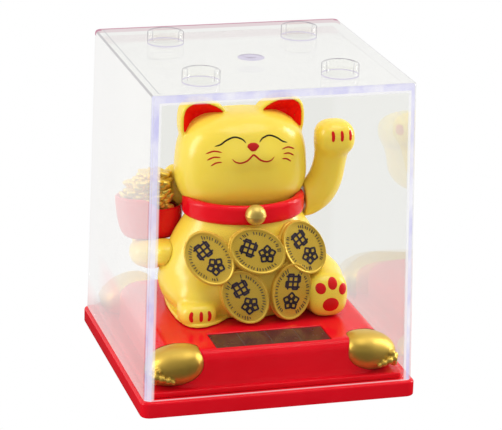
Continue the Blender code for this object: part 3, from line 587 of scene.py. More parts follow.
HEAD_CENTRE = (0.0, 10.0, 70.0)
HEAD_RADII = (23.2, 16.8, 18.2)
HEAD_FLOOR = 57.3
SKIN = 1.8
HEAD_SEAM = 14.5
EAR_OUTLINE = [(3.5, 84.5), (6.6, 89.5), (10.6, 92.0), (14.6, 93.0), (18.4, 92.5),
               (21.4, 90.2), (22.3, 86.0), (21.8, 80.5), (19.0, 76.0), (11.0, 79.0)]
EAR_FRONT, EAR_BACK = 7.0, 14.2
EAR_RIM = 1.1
SIDES = (("left", -1), ("right", 1))


def dome(p):
    x, y, z = p
    flare = 1.0 - 0.05 * (z - HEAD_CENTRE[2]) / HEAD_RADII[2]
    crown = bulge((x / flare, y, z), HEAD_CENTRE, HEAD_RADII, 2.3, 3.0)
    jowl = bulge((x / flare, y, z), HEAD_CENTRE, HEAD_RADII, 2.3, 2.65)
    round_head = np.where(z > HEAD_CENTRE[2], crown, jowl)
    muzzle = bulge((np.abs(x), y, z), (3.6, -1.4, 75.3), (6.0, 5.7, 4.2))
    return meld(round_head, muzzle, 3.0)


EAR_EDGE = closed_curve(EAR_OUTLINE, 3)


def ear_flat(p):
    return outline_distance(np.abs(p[0]), p[2], EAR_EDGE)


def head_form(p):
    flat = ear_flat(p)
    middle = (EAR_FRONT + EAR_BACK) / 2
    ears = plate(flat, p[1] - middle, (EAR_BACK - EAR_FRONT) / 2, 1.5)
    ears = carve(ears, np.maximum(flat + EAR_RIM, p[1] - ear_floor(flat)), 0.5)
    return meld(dome(p), ears, 0.8)


def ear_floor(flat):
    """How far back the hollow of an ear reaches at a distance inside its outline."""
    return EAR_FRONT + 0.9 + 0.85 * np.clip(-flat - EAR_RIM, 0, 4.4)


def head():
    def shell(p):
        outer = head_form(p)
        return clip(carve(outer, dome(p) + SKIN), HEAD_FLOOR - p[2])

    halves("head", shell, HEAD_SEAM, (-25, -8.5, 56.5), (25, 28, 94))
    for side, sign in SIDES:
        def lining(p, sign=sign):
            flat = outline_distance(sign * p[0], p[2], EAR_EDGE)
            across = (p[1] - ear_floor(flat) + 0.12) * 0.76
            return carve(plate(flat + EAR_RIM + 0.1, across, 0.22, 0.1), dome(p) + 0.3)
        low_x, high_x = sorted((sign * 3.0, sign * 22.5))
        moulded("ear_lining_" + side, lining, (low_x, 6.8, 75.0), (high_x, 13.0, 93.5),
                EAR_RED, FINER)


def mirrored(path, sign):
    return [(sign * x, z) for x, z in path]


def face():
    canvas = (head_form, -14.0, 2.0)
    for side, sign in SIDES:
        eye = [(2.4, 80.7), (3.6, 81.9), (6.1, 82.6), (8.8, 81.7), (11.0, 80.2), (12.9, 79.5)]
        stroke("eye_" + side, canvas, mirrored(eye, sign), 0.52, EYE_BLACK)
        whiskers = [((10.7, 77.6), (13.2, 77.9), (15.8, 76.8)),
                    ((11.2, 75.9), (13.4, 75.8), (15.5, 74.6)),
                    ((10.7, 74.3), (12.6, 73.9), (14.3, 72.7))]
        for number, path in enumerate(whiskers, 1):
            stroke(f"whisker_{side}_{number}", canvas, mirrored(path, sign), 0.52, FACE_RED, 0.06)
    blot("nose", canvas, (0.0, 79.4), (1.9, 1.3), FACE_RED, 0.4,
         lambda a: 1.0 + 0.15 * np.sin(3 * a) * (np.sin(a) < 0) + 0.1 * np.abs(np.cos(a)))
    smile = [(0.7, 76.3), (2.4, 74.9), (4.6, 74.2), (6.4, 74.6), (7.5, 75.6)]
    stroke("mouth", canvas, mirrored(smile, -1)[::-1] + [(0.0, 76.7)] + smile, 0.64, FACE_RED,
           0.08)


# ------------------------------------------------------------------ body

BODY_CENTRE_Y = 4.0
BODY_DEPTH_RATIO = 0.73
BODY_FLOOR, BODY_TOP = 20.1, 57.0
BODY_SEAM = 13.0
LIP_OUTLINE = [(-26.4, 12.0), (-27.5, 2.6), (-27.6, -6.4), (-27.0, -13.0), (-25.6, -18.0),
               (-23.0, -20.3), (-19.8, -20.6), (-16.4, -19.2), (-12.0, -16.0), (-8.0, -9.0),
               (-14.0, 11.0)]                # the lip under the left foot, seen from above
LIP_EDGE = closed_curve(LIP_OUTLINE, 4)
PIVOT = (0.0, 7.0, 55.0)
HUB_X = 22.0
BODY_OUTLINE = [(17.5, BODY_TOP), (19.4, 54.5), (21.4, 51.5), (24.2, 47.0), (27.0, 41.0),
                (29.2, 35.0), (30.1, 29.4), (28.7, 24.2), (25.4, BODY_FLOOR)]
BODY_RUN = np.array(eased(BODY_OUTLINE, 6))[::-1]


def hub_gap(p):
    """The distance from the waving arm's axis."""
    return np.sqrt((p[1] - PIVOT[1]) ** 2 + (p[2] - PIVOT[2]) ** 2)


def core(p):
    """The pear-shaped trunk without legs."""
    x, y, z = p
    reach, slope = flattened(x, y - BODY_CENTRE_Y, BODY_DEPTH_RATIO)
    return (reach - np.interp(z, BODY_RUN[:, 1], BODY_RUN[:, 0])) / slope * 0.94


def legs(p):
    """The thighs and feet."""
    left_thigh = bulge(p, (-19.6, -3.5, 27.4), (8.8, 12.8, 8.0))
    left_foot = bulge(p, (-20.9, -13.6, 23.5), (6.6, 6.4, 4.5), 2.8, 2.6)
    right_foot = bulge(p, (25.0, -15.0, 27.7), (7.2, 6.6, 8.1), 2.8, 2.6)
    right_thigh = bulge(p, (23.6, -4.0, 28.5), (10.5, 14.5, 10.0))
    left = meld(left_thigh, left_foot, 0.8)
    right = meld(right_thigh, right_foot, 2.2)
    return np.minimum(left, right)


def figure(p):
    x, y, z = p
    whole = meld(core(p), legs(p), 3.0)
    lip = plate(outline_distance(x, y, LIP_EDGE), z - BODY_FLOOR, 1.2, 0.5)
    return meld(whole, lip, 0.4)


def body():
    def shell(p):
        whole = carve(figure(p), core(p) + SKIN)
        pocket = np.maximum(hub_gap(p) - 7.3, HUB_X - 0.3 - p[0])
        axle = np.maximum(hub_gap(p) - 1.8, 10 - p[0])
        whole = carve(carve(whole, pocket, 0.6), axle)
        return clip(clip(whole, BODY_FLOOR - p[2]), p[2] - BODY_TOP)

    halves("body", shell, BODY_SEAM, (-35, -25, 19.5), (37, 29, 58))
    canvas = (figure, -30, -8)
    for number, (x, bow) in enumerate(((-24.0, -0.45), (-20.9, 0.0), (-18.2, 0.45)), 1):
        stroke(f"left_foot_claw_{number}", canvas, [(x, 25.7), (x + bow, 23.8), (x, 22.0)], 1.3,
               PAINT_RED)
    blot("right_foot_pad", canvas, (25.0, 25.4), (2.9, 2.6), PAINT_RED, 0.3)
    for number, (x, z, half) in enumerate(((21.4, 31.3, (1.75, 1.9)), (25.6, 32.8, (1.7, 2.0)),
                                           (29.4, 30.6, (1.6, 1.95))), 1):
        blot(f"right_foot_toe_{number}", canvas, (x, z), half, PAINT_RED)


COLLAR_Y, COLLAR_SQUEEZE, COLLAR_HALF = 5.0, 0.8, 21.6
COLLAR_MIDDLE, COLLAR_RISE, COLLAR_WALL = 56.3, 3.5, 1.8   # the last two are half sizes
BELL_CENTRE, BELL_RADIUS = (-0.7, -13.9, 57.4), 3.55


def collar_zone(p, gap):
    """The room the collar takes up, its inside included."""
    reach, _ = flattened(p[0], p[1] - COLLAR_Y, COLLAR_SQUEEZE)
    return np.maximum(reach - COLLAR_HALF - gap, np.abs(p[2] - COLLAR_MIDDLE) - COLLAR_RISE - gap)


def trunk_top(p):
    """The room the trunk takes up below its flat top."""
    return np.maximum(core(p) - 0.1, p[2] - BODY_TOP - 0.1)


def bell_gap(p):
    return np.sqrt(sum((c - m) ** 2 for c, m in zip(p, BELL_CENTRE))) - BELL_RADIUS


def collar():
    def band(p):
        reach, slope = flattened(p[0], p[1] - COLLAR_Y, COLLAR_SQUEEZE)
        ring = plate((np.abs(reach - COLLAR_HALF + COLLAR_WALL) - COLLAR_WALL) / slope,
                     p[2] - COLLAR_MIDDLE, COLLAR_RISE, 1.5)
        for room in (bell_gap(p) - 0.1, dome(p) - 0.1, trunk_top(p),
                     np.maximum(hub_gap(p) - 1.7, 10 - p[0]),
                     np.maximum(hub_gap(p) - 7.2, HUB_X - 0.3 - p[0])):
            ring = carve(ring, room)
        return ring

    moulded("collar_band", band, (-22.5, -13.5, 52), (22.5, 23.5, 61), COLLAR_RED, FINER,
            node="collar")

    def ball(p):
        return bell_gap(p) - 0.14 * np.exp(-((p[2] - 57.2) / 0.28) ** 2)

    moulded("bell_ball", ball, (-5, -18, 53), (4, -9, 62), BELL_GOLD, 0.25, node="bell")


# ------------------------------------------------------------------ arms

ARM_PATH = [(0, 0, 0, 6.1), (2.2, -0.1, 0.5, 6.1), (5.6, -0.5, 3.2, 6.2), (8.0, -1.2, 8.0, 6.0),
            (9.1, -2.0, 14.0, 5.7), (9.6, -2.4, 19.0, 6.0)]


ARM_RUN = eased([(HUB_X + x, PIVOT[1] + y, PIVOT[2] + z, radius)
                 for x, y, z, radius in ARM_PATH], 5)
HOLDING_RUN = eased([(-17.5, 20.0, 55.5, 4.8), (-23.0, 23.4, 52.5, 4.8), (-28.0, 24.6, 47.0, 4.8),
                     (-30.8, 22.0, 40.6, 4.9), (-31.0, 16.5, 37.2, 5.2),
                     (-31.0, 11.5, 37.2, 5.6)], 5)


def waving(p):
    paw = bulge(p, (32.0, 3.2, 78.4), (6.9, 6.6, 6.3), 2.7, 2.5)
    return meld(chain(p, ARM_RUN), paw, 1.6)


def arms():
    def arm(p):
        whole = clip(waving(p), HUB_X - p[0], 0.8)
        return carve(whole, np.maximum(hub_gap(p) - 1.05, p[0] - HUB_X - 4.3))

    moulded("waving_arm_moulding", arm, (21, -7, 48), (40, 15, 86), CREAM, 0.4, body="arm",
            node="waving_arm")
    for number, x in enumerate((29.6, 32.8, 36.0), 1):
        stroke(f"waving_paw_claw_{number}", (waving, -14, 2),
               [(x, 82.2), (x + 0.1, 80.3), (x, 78.5)], 1.15, PAINT_RED, 0.06, body="arm")

    def holding(p):
        paw = bulge(p, (-32.4, 10.0, 38.0), (6.8, 6.8, 4.8), 2.4, 2.4)
        thumb = bulge(p, (-27.2, 5.6, 39.0), (5.2, 6.2, 4.5), 2.4, 2.4)
        shoulder = bulge(p, (-20.6, 21.0, 57.0), (5.2, 5.6, 9.0), 2.2, 2.2)
        limb = meld(meld(meld(chain(p, HOLDING_RUN), paw, 2.0), thumb, 1.6), shoulder, 2.0)
        limb = carve(carve(limb, trunk_top(p)), dome(p) - 0.15)
        bowl = np.maximum(BOWL_FLOOR - 0.1 - p[2],
                          bulge(p, (*BOWL_CENTRE, 48), (12, 8, 9)) - 0.2)
        return carve(carve(limb, bowl, 0.3), collar_zone(p, 0.12))

    moulded("holding_arm_moulding", holding, (-40.5, -5, 30), (-10, 31, 68), CREAM,
            node="holding_arm")


# ------------------------------------------------------------------ bowl and heap

BOWL_CENTRE = (-31.2, 15.5)
BOWL_HALF = (11.9, 7.6)
BOWL_FLOOR, BOWL_RIM = 42.0, 52.0
HEAP_CENTRE, HEAP_RADII = (-31.2, 15.4, 51.0), (11.5, 6.3, 17.5)
HEAP_ROOM = (11.1, 6.8)                    # half sizes of the opening that the heap stays in
NUGGET_RADII = (2.0, 1.6, 1.1)


def bowl_point(share, angle, inset):
    """A point of the bowl's wall: share runs from its foot to its rim."""
    along, across = math.cos(angle), math.sin(angle)
    foot = 0.56 + 0.2 * max(along, 0) ** 2
    spread = foot + (1 - foot) * (1 - (1 - share) ** 2.2) ** 0.42
    tip = abs(along) ** 10 * share ** 3
    rise = min(max((0.25 - along) / 0.55, 0.0), 1.0)
    lift = (1.7 + 3.9 * rise ** 2 * (3 - 2 * rise)) * share
    return (BOWL_CENTRE[0] + (BOWL_HALF[0] * spread - inset + 0.3 * tip) * along,
            BOWL_CENTRE[1] + (BOWL_HALF[1] * spread - inset) * across * (1 - 0.25 * tip),
            BOWL_FLOOR + (BOWL_RIM - BOWL_FLOOR) * share + lift)


def heap_form(p):
    """The outline of the heap: a slope on the left, a flat top and a steep right side."""
    x, y, z = p
    whole = bulge(p, HEAP_CENTRE, HEAP_RADII, 2.6, 3.2)
    whole = clip(whole, (z - 57.2 - 0.95 * (x + 43.5)) * 0.72, 1.0)
    return clip(clip(whole, x + 23.6, 0.8), z - 66.6, 0.8)


def nuggets():
    """Little boat-shaped ingots, laid in courses near the skin of the heap."""
    rng = np.random.default_rng(8)
    pile = []
    for course in range(10):
        for row in range(6):
            for step in range(8):
                x = -43.6 + 2.9 * step + 1.45 * ((course + row) % 2) + rng.uniform(-0.5, 0.5)
                y = 9.0 + 2.5 * row + rng.uniform(-0.4, 0.4)
                z = 50.6 + 1.75 * course + rng.uniform(-0.3, 0.3)
                turn, tilt = rng.uniform(-0.7, 0.7), rng.uniform(-0.4, 0.4)
                size = rng.uniform(0.9, 1.12)
                depth = heap_form([np.array([c]) for c in (x, y, z)])[0]
                if -3.4 < depth < -1.1:
                    pile.append(((x, y, z), turn, tilt, size))
    return pile


def treasure():
    steps = 72
    rows = [(0.0, 3.0), (0.0, 0.6), (0.03, 0.15)] + [(s / 12, 0.0) for s in range(1, 12)]
    rows += [(0.985, 0.0), (1.0, 0.25), (1.0, 0.75), (0.985, 1.0)]
    rows += [(s / 10, 1.0) for s in range(9, 3, -1)] + [(0.4, 4.0)]
    points = [bowl_point(share, 2 * math.pi * step / steps, inset)
              for share, inset in rows for step in range(steps)]
    piece("treasure_bowl_moulding", points, ring_faces(len(rows), steps), COLLAR_RED,
          node="treasure_bowl", sharp=50)

    pile = nuggets()

    def heap(p):
        x, y, z = np.broadcast_arrays(*p)
        whole = heap_form((x, y, z)) + 2.4
        for (cx, cy, cz), turn, tilt, size in pile:
            near = (np.abs(x - cx) < 3.4) & (np.abs(y - cy) < 3.4) & (np.abs(z - cz) < 3.0)
            across, along = x[near] - cx, y[near] - cy
            u = across * math.cos(turn) + along * math.sin(turn)
            v = along * math.cos(turn) - across * math.sin(turn)
            w = z[near] - cz + tilt * u - 0.12 * u ** 2
            nugget = bulge((u, v, w), (0, 0, 0), [r * size for r in NUGGET_RADII], 2.6, 2.2)
            whole[near] = np.minimum(whole[near], nugget)
        reach = np.sqrt(((x - BOWL_CENTRE[0]) / HEAP_ROOM[0]) ** 2
                        + ((y - BOWL_CENTRE[1]) / HEAP_ROOM[1]) ** 2)
        whole = clip(clip(whole, (reach - 1) * HEAP_ROOM[1], 0.3), BOWL_RIM - 2.0 - z)
        return carve(carve(whole, dome((x, y, z)) - 0.15), collar_zone((x, y, z), 0.15))

    moulded("gold_heap_pile", heap, (-43.5, 7.5, 48.5), (-18, 23.5, 69.5), HEAP_GOLD, 0.3,
            node="gold_heap", sharp=75)


# ------------------------------------------------------------------ coins

COINS = [("coin_lower_left", -5.2, 29.8, 60.0, -6.0, 6.0, 2.5),
         ("coin_lower_right", 10.9, 30.2, 98.0, 10.0, 6.0, 2.6),
         ("coin_upper_left", -16.0, 42.0, 50.0, -16.0, 17.0, 4.4),
         ("coin_upper_centre", -1.0, 44.6, 22.0, 0.0, 17.0, 4.2),
         ("coin_upper_right", 15.6, 43.6, 60.0, 14.0, 17.0, 4.4)]
COIN_HALF = (10.0, 7.6)
TICKS = 46
INK_HEIGHTS = (0.30, 0.56)                 # where the ornaments start and end above a coin
BACKING = [(-17.5, 45.5), (-9, 46.5), (0, 48), (12, 49.5), (17.5, 47), (19, 40), (14.5, 32),
           (12, 23.5), (-7, 23.5), (-12, 32), (-19, 39)]


def coin_plane(x, z, turn, outwards, lean, distance):
    """Where a coin stands: its face along +Z and its long axis along X before placing."""
    reach = np.interp(z, BODY_RUN[:, 1], BODY_RUN[:, 0])
    belly = Vector((x, BODY_CENTRE_Y - BODY_DEPTH_RATIO * math.sqrt(reach ** 2 - x ** 2), z))
    face = (Matrix.Rotation(math.radians(outwards), 4, "Z")
            @ Matrix.Rotation(math.radians(90 - lean), 4, "X"))
    centre = belly + face.to_3x3() @ Vector((0, 0, distance))
    return Matrix.Translation(centre) @ face @ Matrix.Rotation(math.radians(-turn), 4, "Z")


def placed(matrix, points):
    points = np.array(points, float)
    return points @ np.array(matrix.to_3x3()).T + np.array(matrix.translation)


def coin_disc(name, matrix):
    steps = 96
    profile = [(3.0, -0.75), (0.3, -0.75), (0.0, -0.45), (0.0, 0.4), (0.12, 0.62), (0.35, 0.7),
               (0.6, 0.62), (0.78, 0.42), (0.95, 0.36), (2.5, 0.4), (4.5, 0.44), (6.8, 0.46)]
    points = [((COIN_HALF[0] - inset) * math.cos(2 * math.pi * n / steps),
               (COIN_HALF[1] - inset) * math.sin(2 * math.pi * n / steps), height)
              for inset, height in profile for n in range(steps)]
    piece(name + "_disc", placed(matrix, points), ring_faces(len(profile), steps), GOLD, node=name)


def bar(a, b, width):
    """A short raised stroke between two points of a coin's face, as a closed prism."""
    a, b = np.array(a, float), np.array(b, float)
    along = (b - a) / np.linalg.norm(b - a)
    side = np.array((-along[1], along[0])) * width / 2
    end = along * width * 0.35
    ring = [a - side, b - side, b + end, b + side, a + side, a - end]
    return [(*q, height) for height in INK_HEIGHTS for q in ring], ring_faces(2, len(ring))


def knot(centre, size, turn):
    """A woven square knot: crossing bands inside a broken frame."""
    lines = []
    for s in (-0.36, 0.0, 0.36):
        lines += [((-0.5, s), (0.5, s)), ((s, -0.5), (s, 0.5))]
    lines += [((-0.5, -0.36), (-0.5, 0.0)), ((0.5, 0.0), (0.5, 0.36)),
              ((0.0, -0.5), (0.36, -0.5)), ((-0.36, 0.5), (0.0, 0.5))]
    return turned_lines(lines, centre, size, turn)


def blossom(centre, size, turn):
    """Five open petals round a small ring."""
    lines = []
    for n in range(5):
        angle = 2 * math.pi * n / 5 + math.pi / 2
        tip = (0.56 * math.cos(angle), 0.56 * math.sin(angle))
        for sign in (-1, 1):
            side = (0.42 * math.cos(angle + sign * 0.52), 0.42 * math.sin(angle + sign * 0.52))
            root = (0.17 * math.cos(angle + sign * 0.3), 0.17 * math.sin(angle + sign * 0.3))
            lines += [(tip, side), (side, root)]
        after = angle + 2 * math.pi / 5
        lines.append(((0.17 * math.cos(angle), 0.17 * math.sin(angle)),
                      (0.17 * math.cos(after), 0.17 * math.sin(after))))
    return turned_lines(lines, centre, size, turn)


def turned_lines(lines, centre, size, turn):
    c, s = math.cos(turn) * size, math.sin(turn) * size
    return [[(centre[0] + c * x - s * y, centre[1] + s * x + c * y) for x, y in line]
            for line in lines]


def ornament(rng):
    """A coin's knot, blossom and ring of uneven ticks, as lines with their widths."""
    strokes = [(line, 0.68) for line in knot((-3.5, 0.0), 5.2, math.radians(90))]
    strokes += [(line, 0.66) for line in blossom((3.4, 0.0), 5.5, math.radians(90))]
    for n in range(TICKS):
        angle = 2 * math.pi * (n + rng.uniform(-0.2, 0.2)) / TICKS
        if abs(math.cos(angle)) > 0.955 or rng.uniform() < 0.1:
            continue
        ends = [(COIN_HALF[0] * share * math.cos(angle), COIN_HALF[1] * share * math.sin(angle))
                for share in (0.73 + rng.uniform(-0.02, 0.02), 0.83 + rng.uniform(-0.02, 0.03))]
        strokes.append((ends, 0.25))
    return strokes


def coins():
    for number, (name, *numbers) in enumerate(COINS):
        matrix = coin_plane(*numbers)
        coin_disc(name, matrix)
        points, faces = [], []
        for (a, b), width in ornament(np.random.default_rng(40 + number)):
            more, sides = bar(a, b, width)
            faces += [[v + len(points) for v in side] for side in sides]
            points += more
        piece(name + "_ornament", placed(matrix, points), faces, INK)

    def backing(p):
        x, y, z = p
        skin = figure(p)
        whole = np.maximum(np.maximum(skin - 1.4, 0.15 - skin), y + 2.0)
        whole = clip(whole, outline_distance(x, z, BACKING), 0.6)
        for name, *numbers in COINS:
            inverse = coin_plane(*numbers).inverted()
            u, v, w = (inverse[r][0] * x + inverse[r][1] * y + inverse[r][2] * z + inverse[r][3]
                       for r in range(3))
            reach = np.sqrt((u / COIN_HALF[0]) ** 2 + (v / COIN_HALF[1]) ** 2 + 1e-6)
            slope = np.sqrt((u / COIN_HALF[0] ** 2) ** 2 + (v / COIN_HALF[1] ** 2) ** 2 + 1e-6)
            disc = plate((reach - 1) * reach / slope - 0.35, w + 1.75, 0.8, 0.4)
            whole = np.minimum(whole, disc)
        return np.maximum(whole, 0.15 - skin)

    moulded("coin_backing_plate", backing, (-28, -25, 19), (28, -2, 56), GOLD, 0.4,
            node="coin_backing")


# ------------------------------------------------------------------ base and cover

def rounded_ring(half_x, half_y, radius, centre_y=0.0, per_corner=10):
    """The outline of a rounded rectangle, anticlockwise."""
    ring = []
    for corner, (sx, sy) in enumerate(((1, 1), (-1, 1), (-1, -1), (1, -1))):
        for step in range(per_corner + 1):
            angle = math.pi / 2 * (corner + step / per_corner)
            ring.append((sx * (half_x - radius) + radius * math.cos(angle),
                         centre_y + sy * (half_y - radius) + radius * math.sin(angle)))
    return ring


def solid(rings):
    """A closed solid through rings of points, not yet a piece."""
    mesh = bpy.data.meshes.new("shape")
    mesh.from_pydata([point for ring in rings for point in ring], [],
                     ring_faces(len(rings), len(rings[0])))
    return added("shape", mesh)


def slab(levels, per_corner=10):
    """A closed solid from (half_x, half_y, corner radius, height, centre_y) levels."""
    return solid([[(x, y, height) for x, y in rounded_ring(half_x, half_y, radius, centre_y,
                                                           per_corner)]
                  for half_x, half_y, radius, height, centre_y in levels])


def rounded_top(half_x, half_y, corner, high, soft, centre_y=0.0, least=0.2):
    """Levels of an upper rim rounded by soft, whose corners keep the least radius."""
    levels = []
    for step in range(7):
        t = math.pi / 2 * step / 6
        inset = soft * (1 - math.cos(t))
        levels.append((half_x - inset, half_y - inset, max(corner - inset, least),
                       high - soft + soft * math.sin(t), centre_y))
    return levels


def rim_levels(half_x, half_y, corner, low, high, soft, centre_y=0.0, bottom=0.3):
    """Levels of a box whose upper rim is rounded by soft and whose lower one by bottom."""
    levels = []
    for step in range(4):
        t = math.pi / 2 * step / 3
        inset = bottom * (1 - math.sin(t))
        levels.append((half_x - inset, half_y - inset, max(corner - inset, 0.2),
                       low + bottom * (1 - math.cos(t)), centre_y))
    return levels + rounded_top(half_x, half_y, corner, high, soft, centre_y)


def boolean(shape, other, operation="DIFFERENCE"):
    modifier = shape.modifiers.new("cut", "BOOLEAN")
    modifier.operation = operation
    modifier.solver = "EXACT"
    modifier.object = other
    graph = bpy.context.evaluated_depsgraph_get()
    mesh = bpy.data.meshes.new_from_object(shape.evaluated_get(graph))
    shape.modifiers.clear()
    shape.data = mesh
    bpy.data.objects.remove(other, do_unlink=True)
    return shape


def lathe(profile, centre, steps=64):
    """A closed (radius, height) profile spun about a vertical axis."""
    turns = [2 * math.pi * n / steps for n in range(steps)]
    return solid([[(centre[0] + radius * math.cos(t), centre[1] + radius * math.sin(t), height)
                   for t in turns] for radius, height in profile])


def post(radius, low, high, centre, steps=24):
    return lathe([(radius, low), (radius, high)], centre, steps)


def ellipsoid_solid(radii, power_xy, power_z):
    bm = bmesh.new()
    bmesh.ops.create_uvsphere(bm, u_segments=48, v_segments=32, radius=1.0)
    for vertex in bm.verts:
        x, y, z = (abs(c) for c in vertex.co)
        flat = (x ** power_xy + y ** power_xy) ** (power_z / power_xy)
        vertex.co /= (flat + z ** power_z) ** (1.0 / power_z)
    bmesh.ops.scale(bm, vec=radii, verts=bm.verts)
    mesh = bpy.data.meshes.new("shape")
    bm.to_mesh(mesh)
    bm.free()
    return added("shape", mesh)


def finished(obj, name, material, **options):
    """Turns a solid in millimetres into a finished piece in metres."""
    obj.data.transform(Matrix.Scale(MM, 4))
    obj.name = name
    obj.data.name = name
    hand_over(obj, material, **options)


TRAY_HALF, TRAY_TOP = 48.0, 5.5
FLANGE_HALF, FLANGE_TOP = 44.3, 7.5
MOUND_HALF_X, MOUND_FRONT, MOUND_BACK, MOUND_TOP = 39.4, -41.6, 34.0, 19.8
WINDOW_LENGTH, WINDOW_WIDTH, WINDOW_Y = 40.0, 12.5, -32.1
INGOT_CENTRE, INGOT_RADII = (34.0, 35.7, 13.7), (10.3, 7.9, 6.8)
INGOT_FALL = 0.16                          # its outer end lies lower than its inner end
INGOT_TURN = math.radians(-20)             # its long axis points in and outwards to the front
INGOT_POWERS = (2.3, 2.2)
INGOT_NUGGETS = [(41.6, 41.6, 12.0, 1.5), (42.7, 39.6, 12.2, 1.3), (39.9, 42.5, 11.6, 1.3),
                 (41.2, 41.2, 13.7, 1.2), (42.9, 37.6, 11.4, 1.1), (37.9, 43.0, 11.0, 1.1),
                 (36.2, 43.2, 10.4, 0.8), (42.0, 41.0, 10.3, 1.2)]
CORNERS = (("front_left", -1, -1), ("front_right", 1, -1), ("back_left", -1, 1),
           ("back_right", 1, 1))
BASE_SCREWS = [(x, y) for x in (-33.0, 33.0) for y in (-17.0, 17.0)]


def tray():
    whole = slab(rim_levels(TRAY_HALF, TRAY_HALF, 3.2, 0.0, TRAY_TOP, 0.9, bottom=0.5))
    pocket = FLANGE_HALF - 2.4
    whole = boolean(whole, slab([(pocket, pocket, 2.0, 1.6, 0), (pocket, pocket, 2.0, 9, 0)]))
    for centre in BASE_SCREWS:
        whole = boolean(whole, post(4.2, 0.8, 3.6, centre, 32), "UNION")
        whole = boolean(whole, post(1.6, -1, 5, centre))
        whole = boolean(whole, lathe([(2.9, -1), (2.7, 1.9)], centre, 32))
    for centre in ((-17.0, 7.0), (17.0, 7.0)):
        whole = boolean(whole, post(2.6, 1.0, 4.0, centre), "UNION")
        whole = boolean(whole, post(1.3, 2.2, 6.0, centre, 20))
    finished(whole, "base_tray_moulding", RED, node="base_tray", sharp=35)


def window_room(beside, corner, below_top):
    """A level of the room cut for the window, wider than the cell by beside on each side."""
    return (WINDOW_LENGTH / 2 + beside, WINDOW_WIDTH / 2 + beside, corner, MOUND_TOP - below_top,
            WINDOW_Y)


def pedestal():
    centre_y = (MOUND_FRONT + MOUND_BACK) / 2
    depth = (MOUND_BACK - MOUND_FRONT) / 2
    shell = slab(rim_levels(FLANGE_HALF, FLANGE_HALF, 2.2, TRAY_TOP + 0.1, FLANGE_TOP, 0.5))
    foot = [(MOUND_HALF_X + 1.2 * (1 - t), depth + 1.2 * (1 - t), 11.0,
             FLANGE_TOP - 0.7 + 1.2 * t ** 2 + 0.3 * t, centre_y) for t in (0.0, 0.4, 0.75, 1.0)]
    upper = rounded_top(MOUND_HALF_X, depth, 10.5, MOUND_TOP, 4.0, centre_y)
    shell = boolean(shell, slab(foot + upper, 14), "UNION")
    hollow = rim_levels(MOUND_HALF_X - 2.4, depth - 2.4, 8.0, 2.0, MOUND_TOP - 2.4, 2.0, centre_y)
    shell = boolean(shell, slab(hollow, 6))
    for centre in BASE_SCREWS:
        shell = boolean(shell, post(3.4, 3.9, MOUND_TOP - 1, centre), "UNION")
        shell = boolean(shell, post(1.6, 2, 13, centre, 20))
    shell = boolean(shell, slab([window_room(0.2, 0.4, 1.3), window_room(0.2, 0.4, 0.25),
                                 window_room(0.6, 0.6, -0.1), window_room(0.6, 0.6, -2)], 5))
    shell = boolean(shell, slab([window_room(-1.5, 0.5, 5), window_room(-1.5, 0.5, 0)], 4))
    shell = boolean(shell, slab([(6.0, 16.0, 0.5, MOUND_TOP - 5, 7.0),
                                 (6.0, 16.0, 0.5, MOUND_TOP + 5, 7.0)], 4))
    for _, sx, sy in sorted(CORNERS, key=lambda corner: corner[1:]):
        socket = ellipsoid_solid([r + 0.15 for r in INGOT_RADII], *INGOT_POWERS)
        fall = Matrix.Identity(4)
        fall[2][0] = -INGOT_FALL * sx
        socket.data.transform(Matrix.Translation([c * s for c, s in zip(INGOT_CENTRE, (sx, sy, 1))])
                              @ Matrix.Rotation(INGOT_TURN * sx * sy, 4, "Z") @ fall)
        keep = slab([(60, 60, 1, FLANGE_TOP, 0), (60, 60, 1, 40, 0)], 2)
        shell = boolean(shell, boolean(socket, keep, "INTERSECT"))
    finished(shell, "pedestal_moulding", RED, node="pedestal_shell", sharp=32)


def ingots():
    for name, sx, sy in CORNERS:
        def lump(p, sx=sx, sy=sy):
            x, y, z = p[0] * sx, p[1] * sy, p[2]
            u, v = x - INGOT_CENTRE[0], y - INGOT_CENTRE[1]
            c, t = math.cos(INGOT_TURN), math.sin(INGOT_TURN)
            along = c * u + t * v
            turned = (along, c * v - t * u, z - INGOT_CENTRE[2] + INGOT_FALL * along)
            whole = bulge(turned, (0, 0, 0), INGOT_RADII, *INGOT_POWERS)
            for bx, by, bz, radius in INGOT_NUGGETS:
                ball = np.sqrt((x - bx) ** 2 + (y - by) ** 2 + (z - bz) ** 2) - radius
                whole = meld(whole, ball, 0.35)
            return clip(whole, FLANGE_TOP + 0.1 - z, 0.4)

        low_x, high_x = sorted((sx * 22.5, sx * 45.5))
        low_y, high_y = sorted((sy * 22.5, sy * 45.5))
        moulded("ingot_" + name + "_casting", lump, (low_x, low_y, 7.0), (high_x, high_y, 22.5),
                INGOT_GOLD, 0.45, node="ingot_" + name, sharp=60)


def solar():
    cell = slab(rim_levels(WINDOW_LENGTH / 2, WINDOW_WIDTH / 2, 0.3, MOUND_TOP - 1.0,
                           MOUND_TOP - 0.3, 0.12, WINDOW_Y, 0.1), 3)
    finished(cell, "solar_cell_glass", cell_glass(), node="solar_cell")


def cell_glass():
    """Dark brown cell glass with fine paler collector lines across it."""
    material, tree, shader = node_tree("solar_cell_dark_glass")
    strip = maths(tree, "PINGPONG", coordinates(tree, place(tree))["X"], 0.005)
    line = remap(tree, strip, 0.00018, 0.0001)
    tone = blend_colour(tree, remap(tree, noise(tree, 90.0), 0.3, 0.7), (0.070, 0.020, 0.018),
                        (0.095, 0.030, 0.028))
    feed(tree, blend_colour(tree, line, tone, (0.09, 0.065, 0.055)), shader.inputs["Base Color"])
    feed(tree, remap(tree, noise(tree, 400.0), 0.3, 0.7, 0.20, 0.28), shader.inputs["Roughness"])
    feed(tree, 0.4, shader.inputs["Specular IOR Level"])
    return material


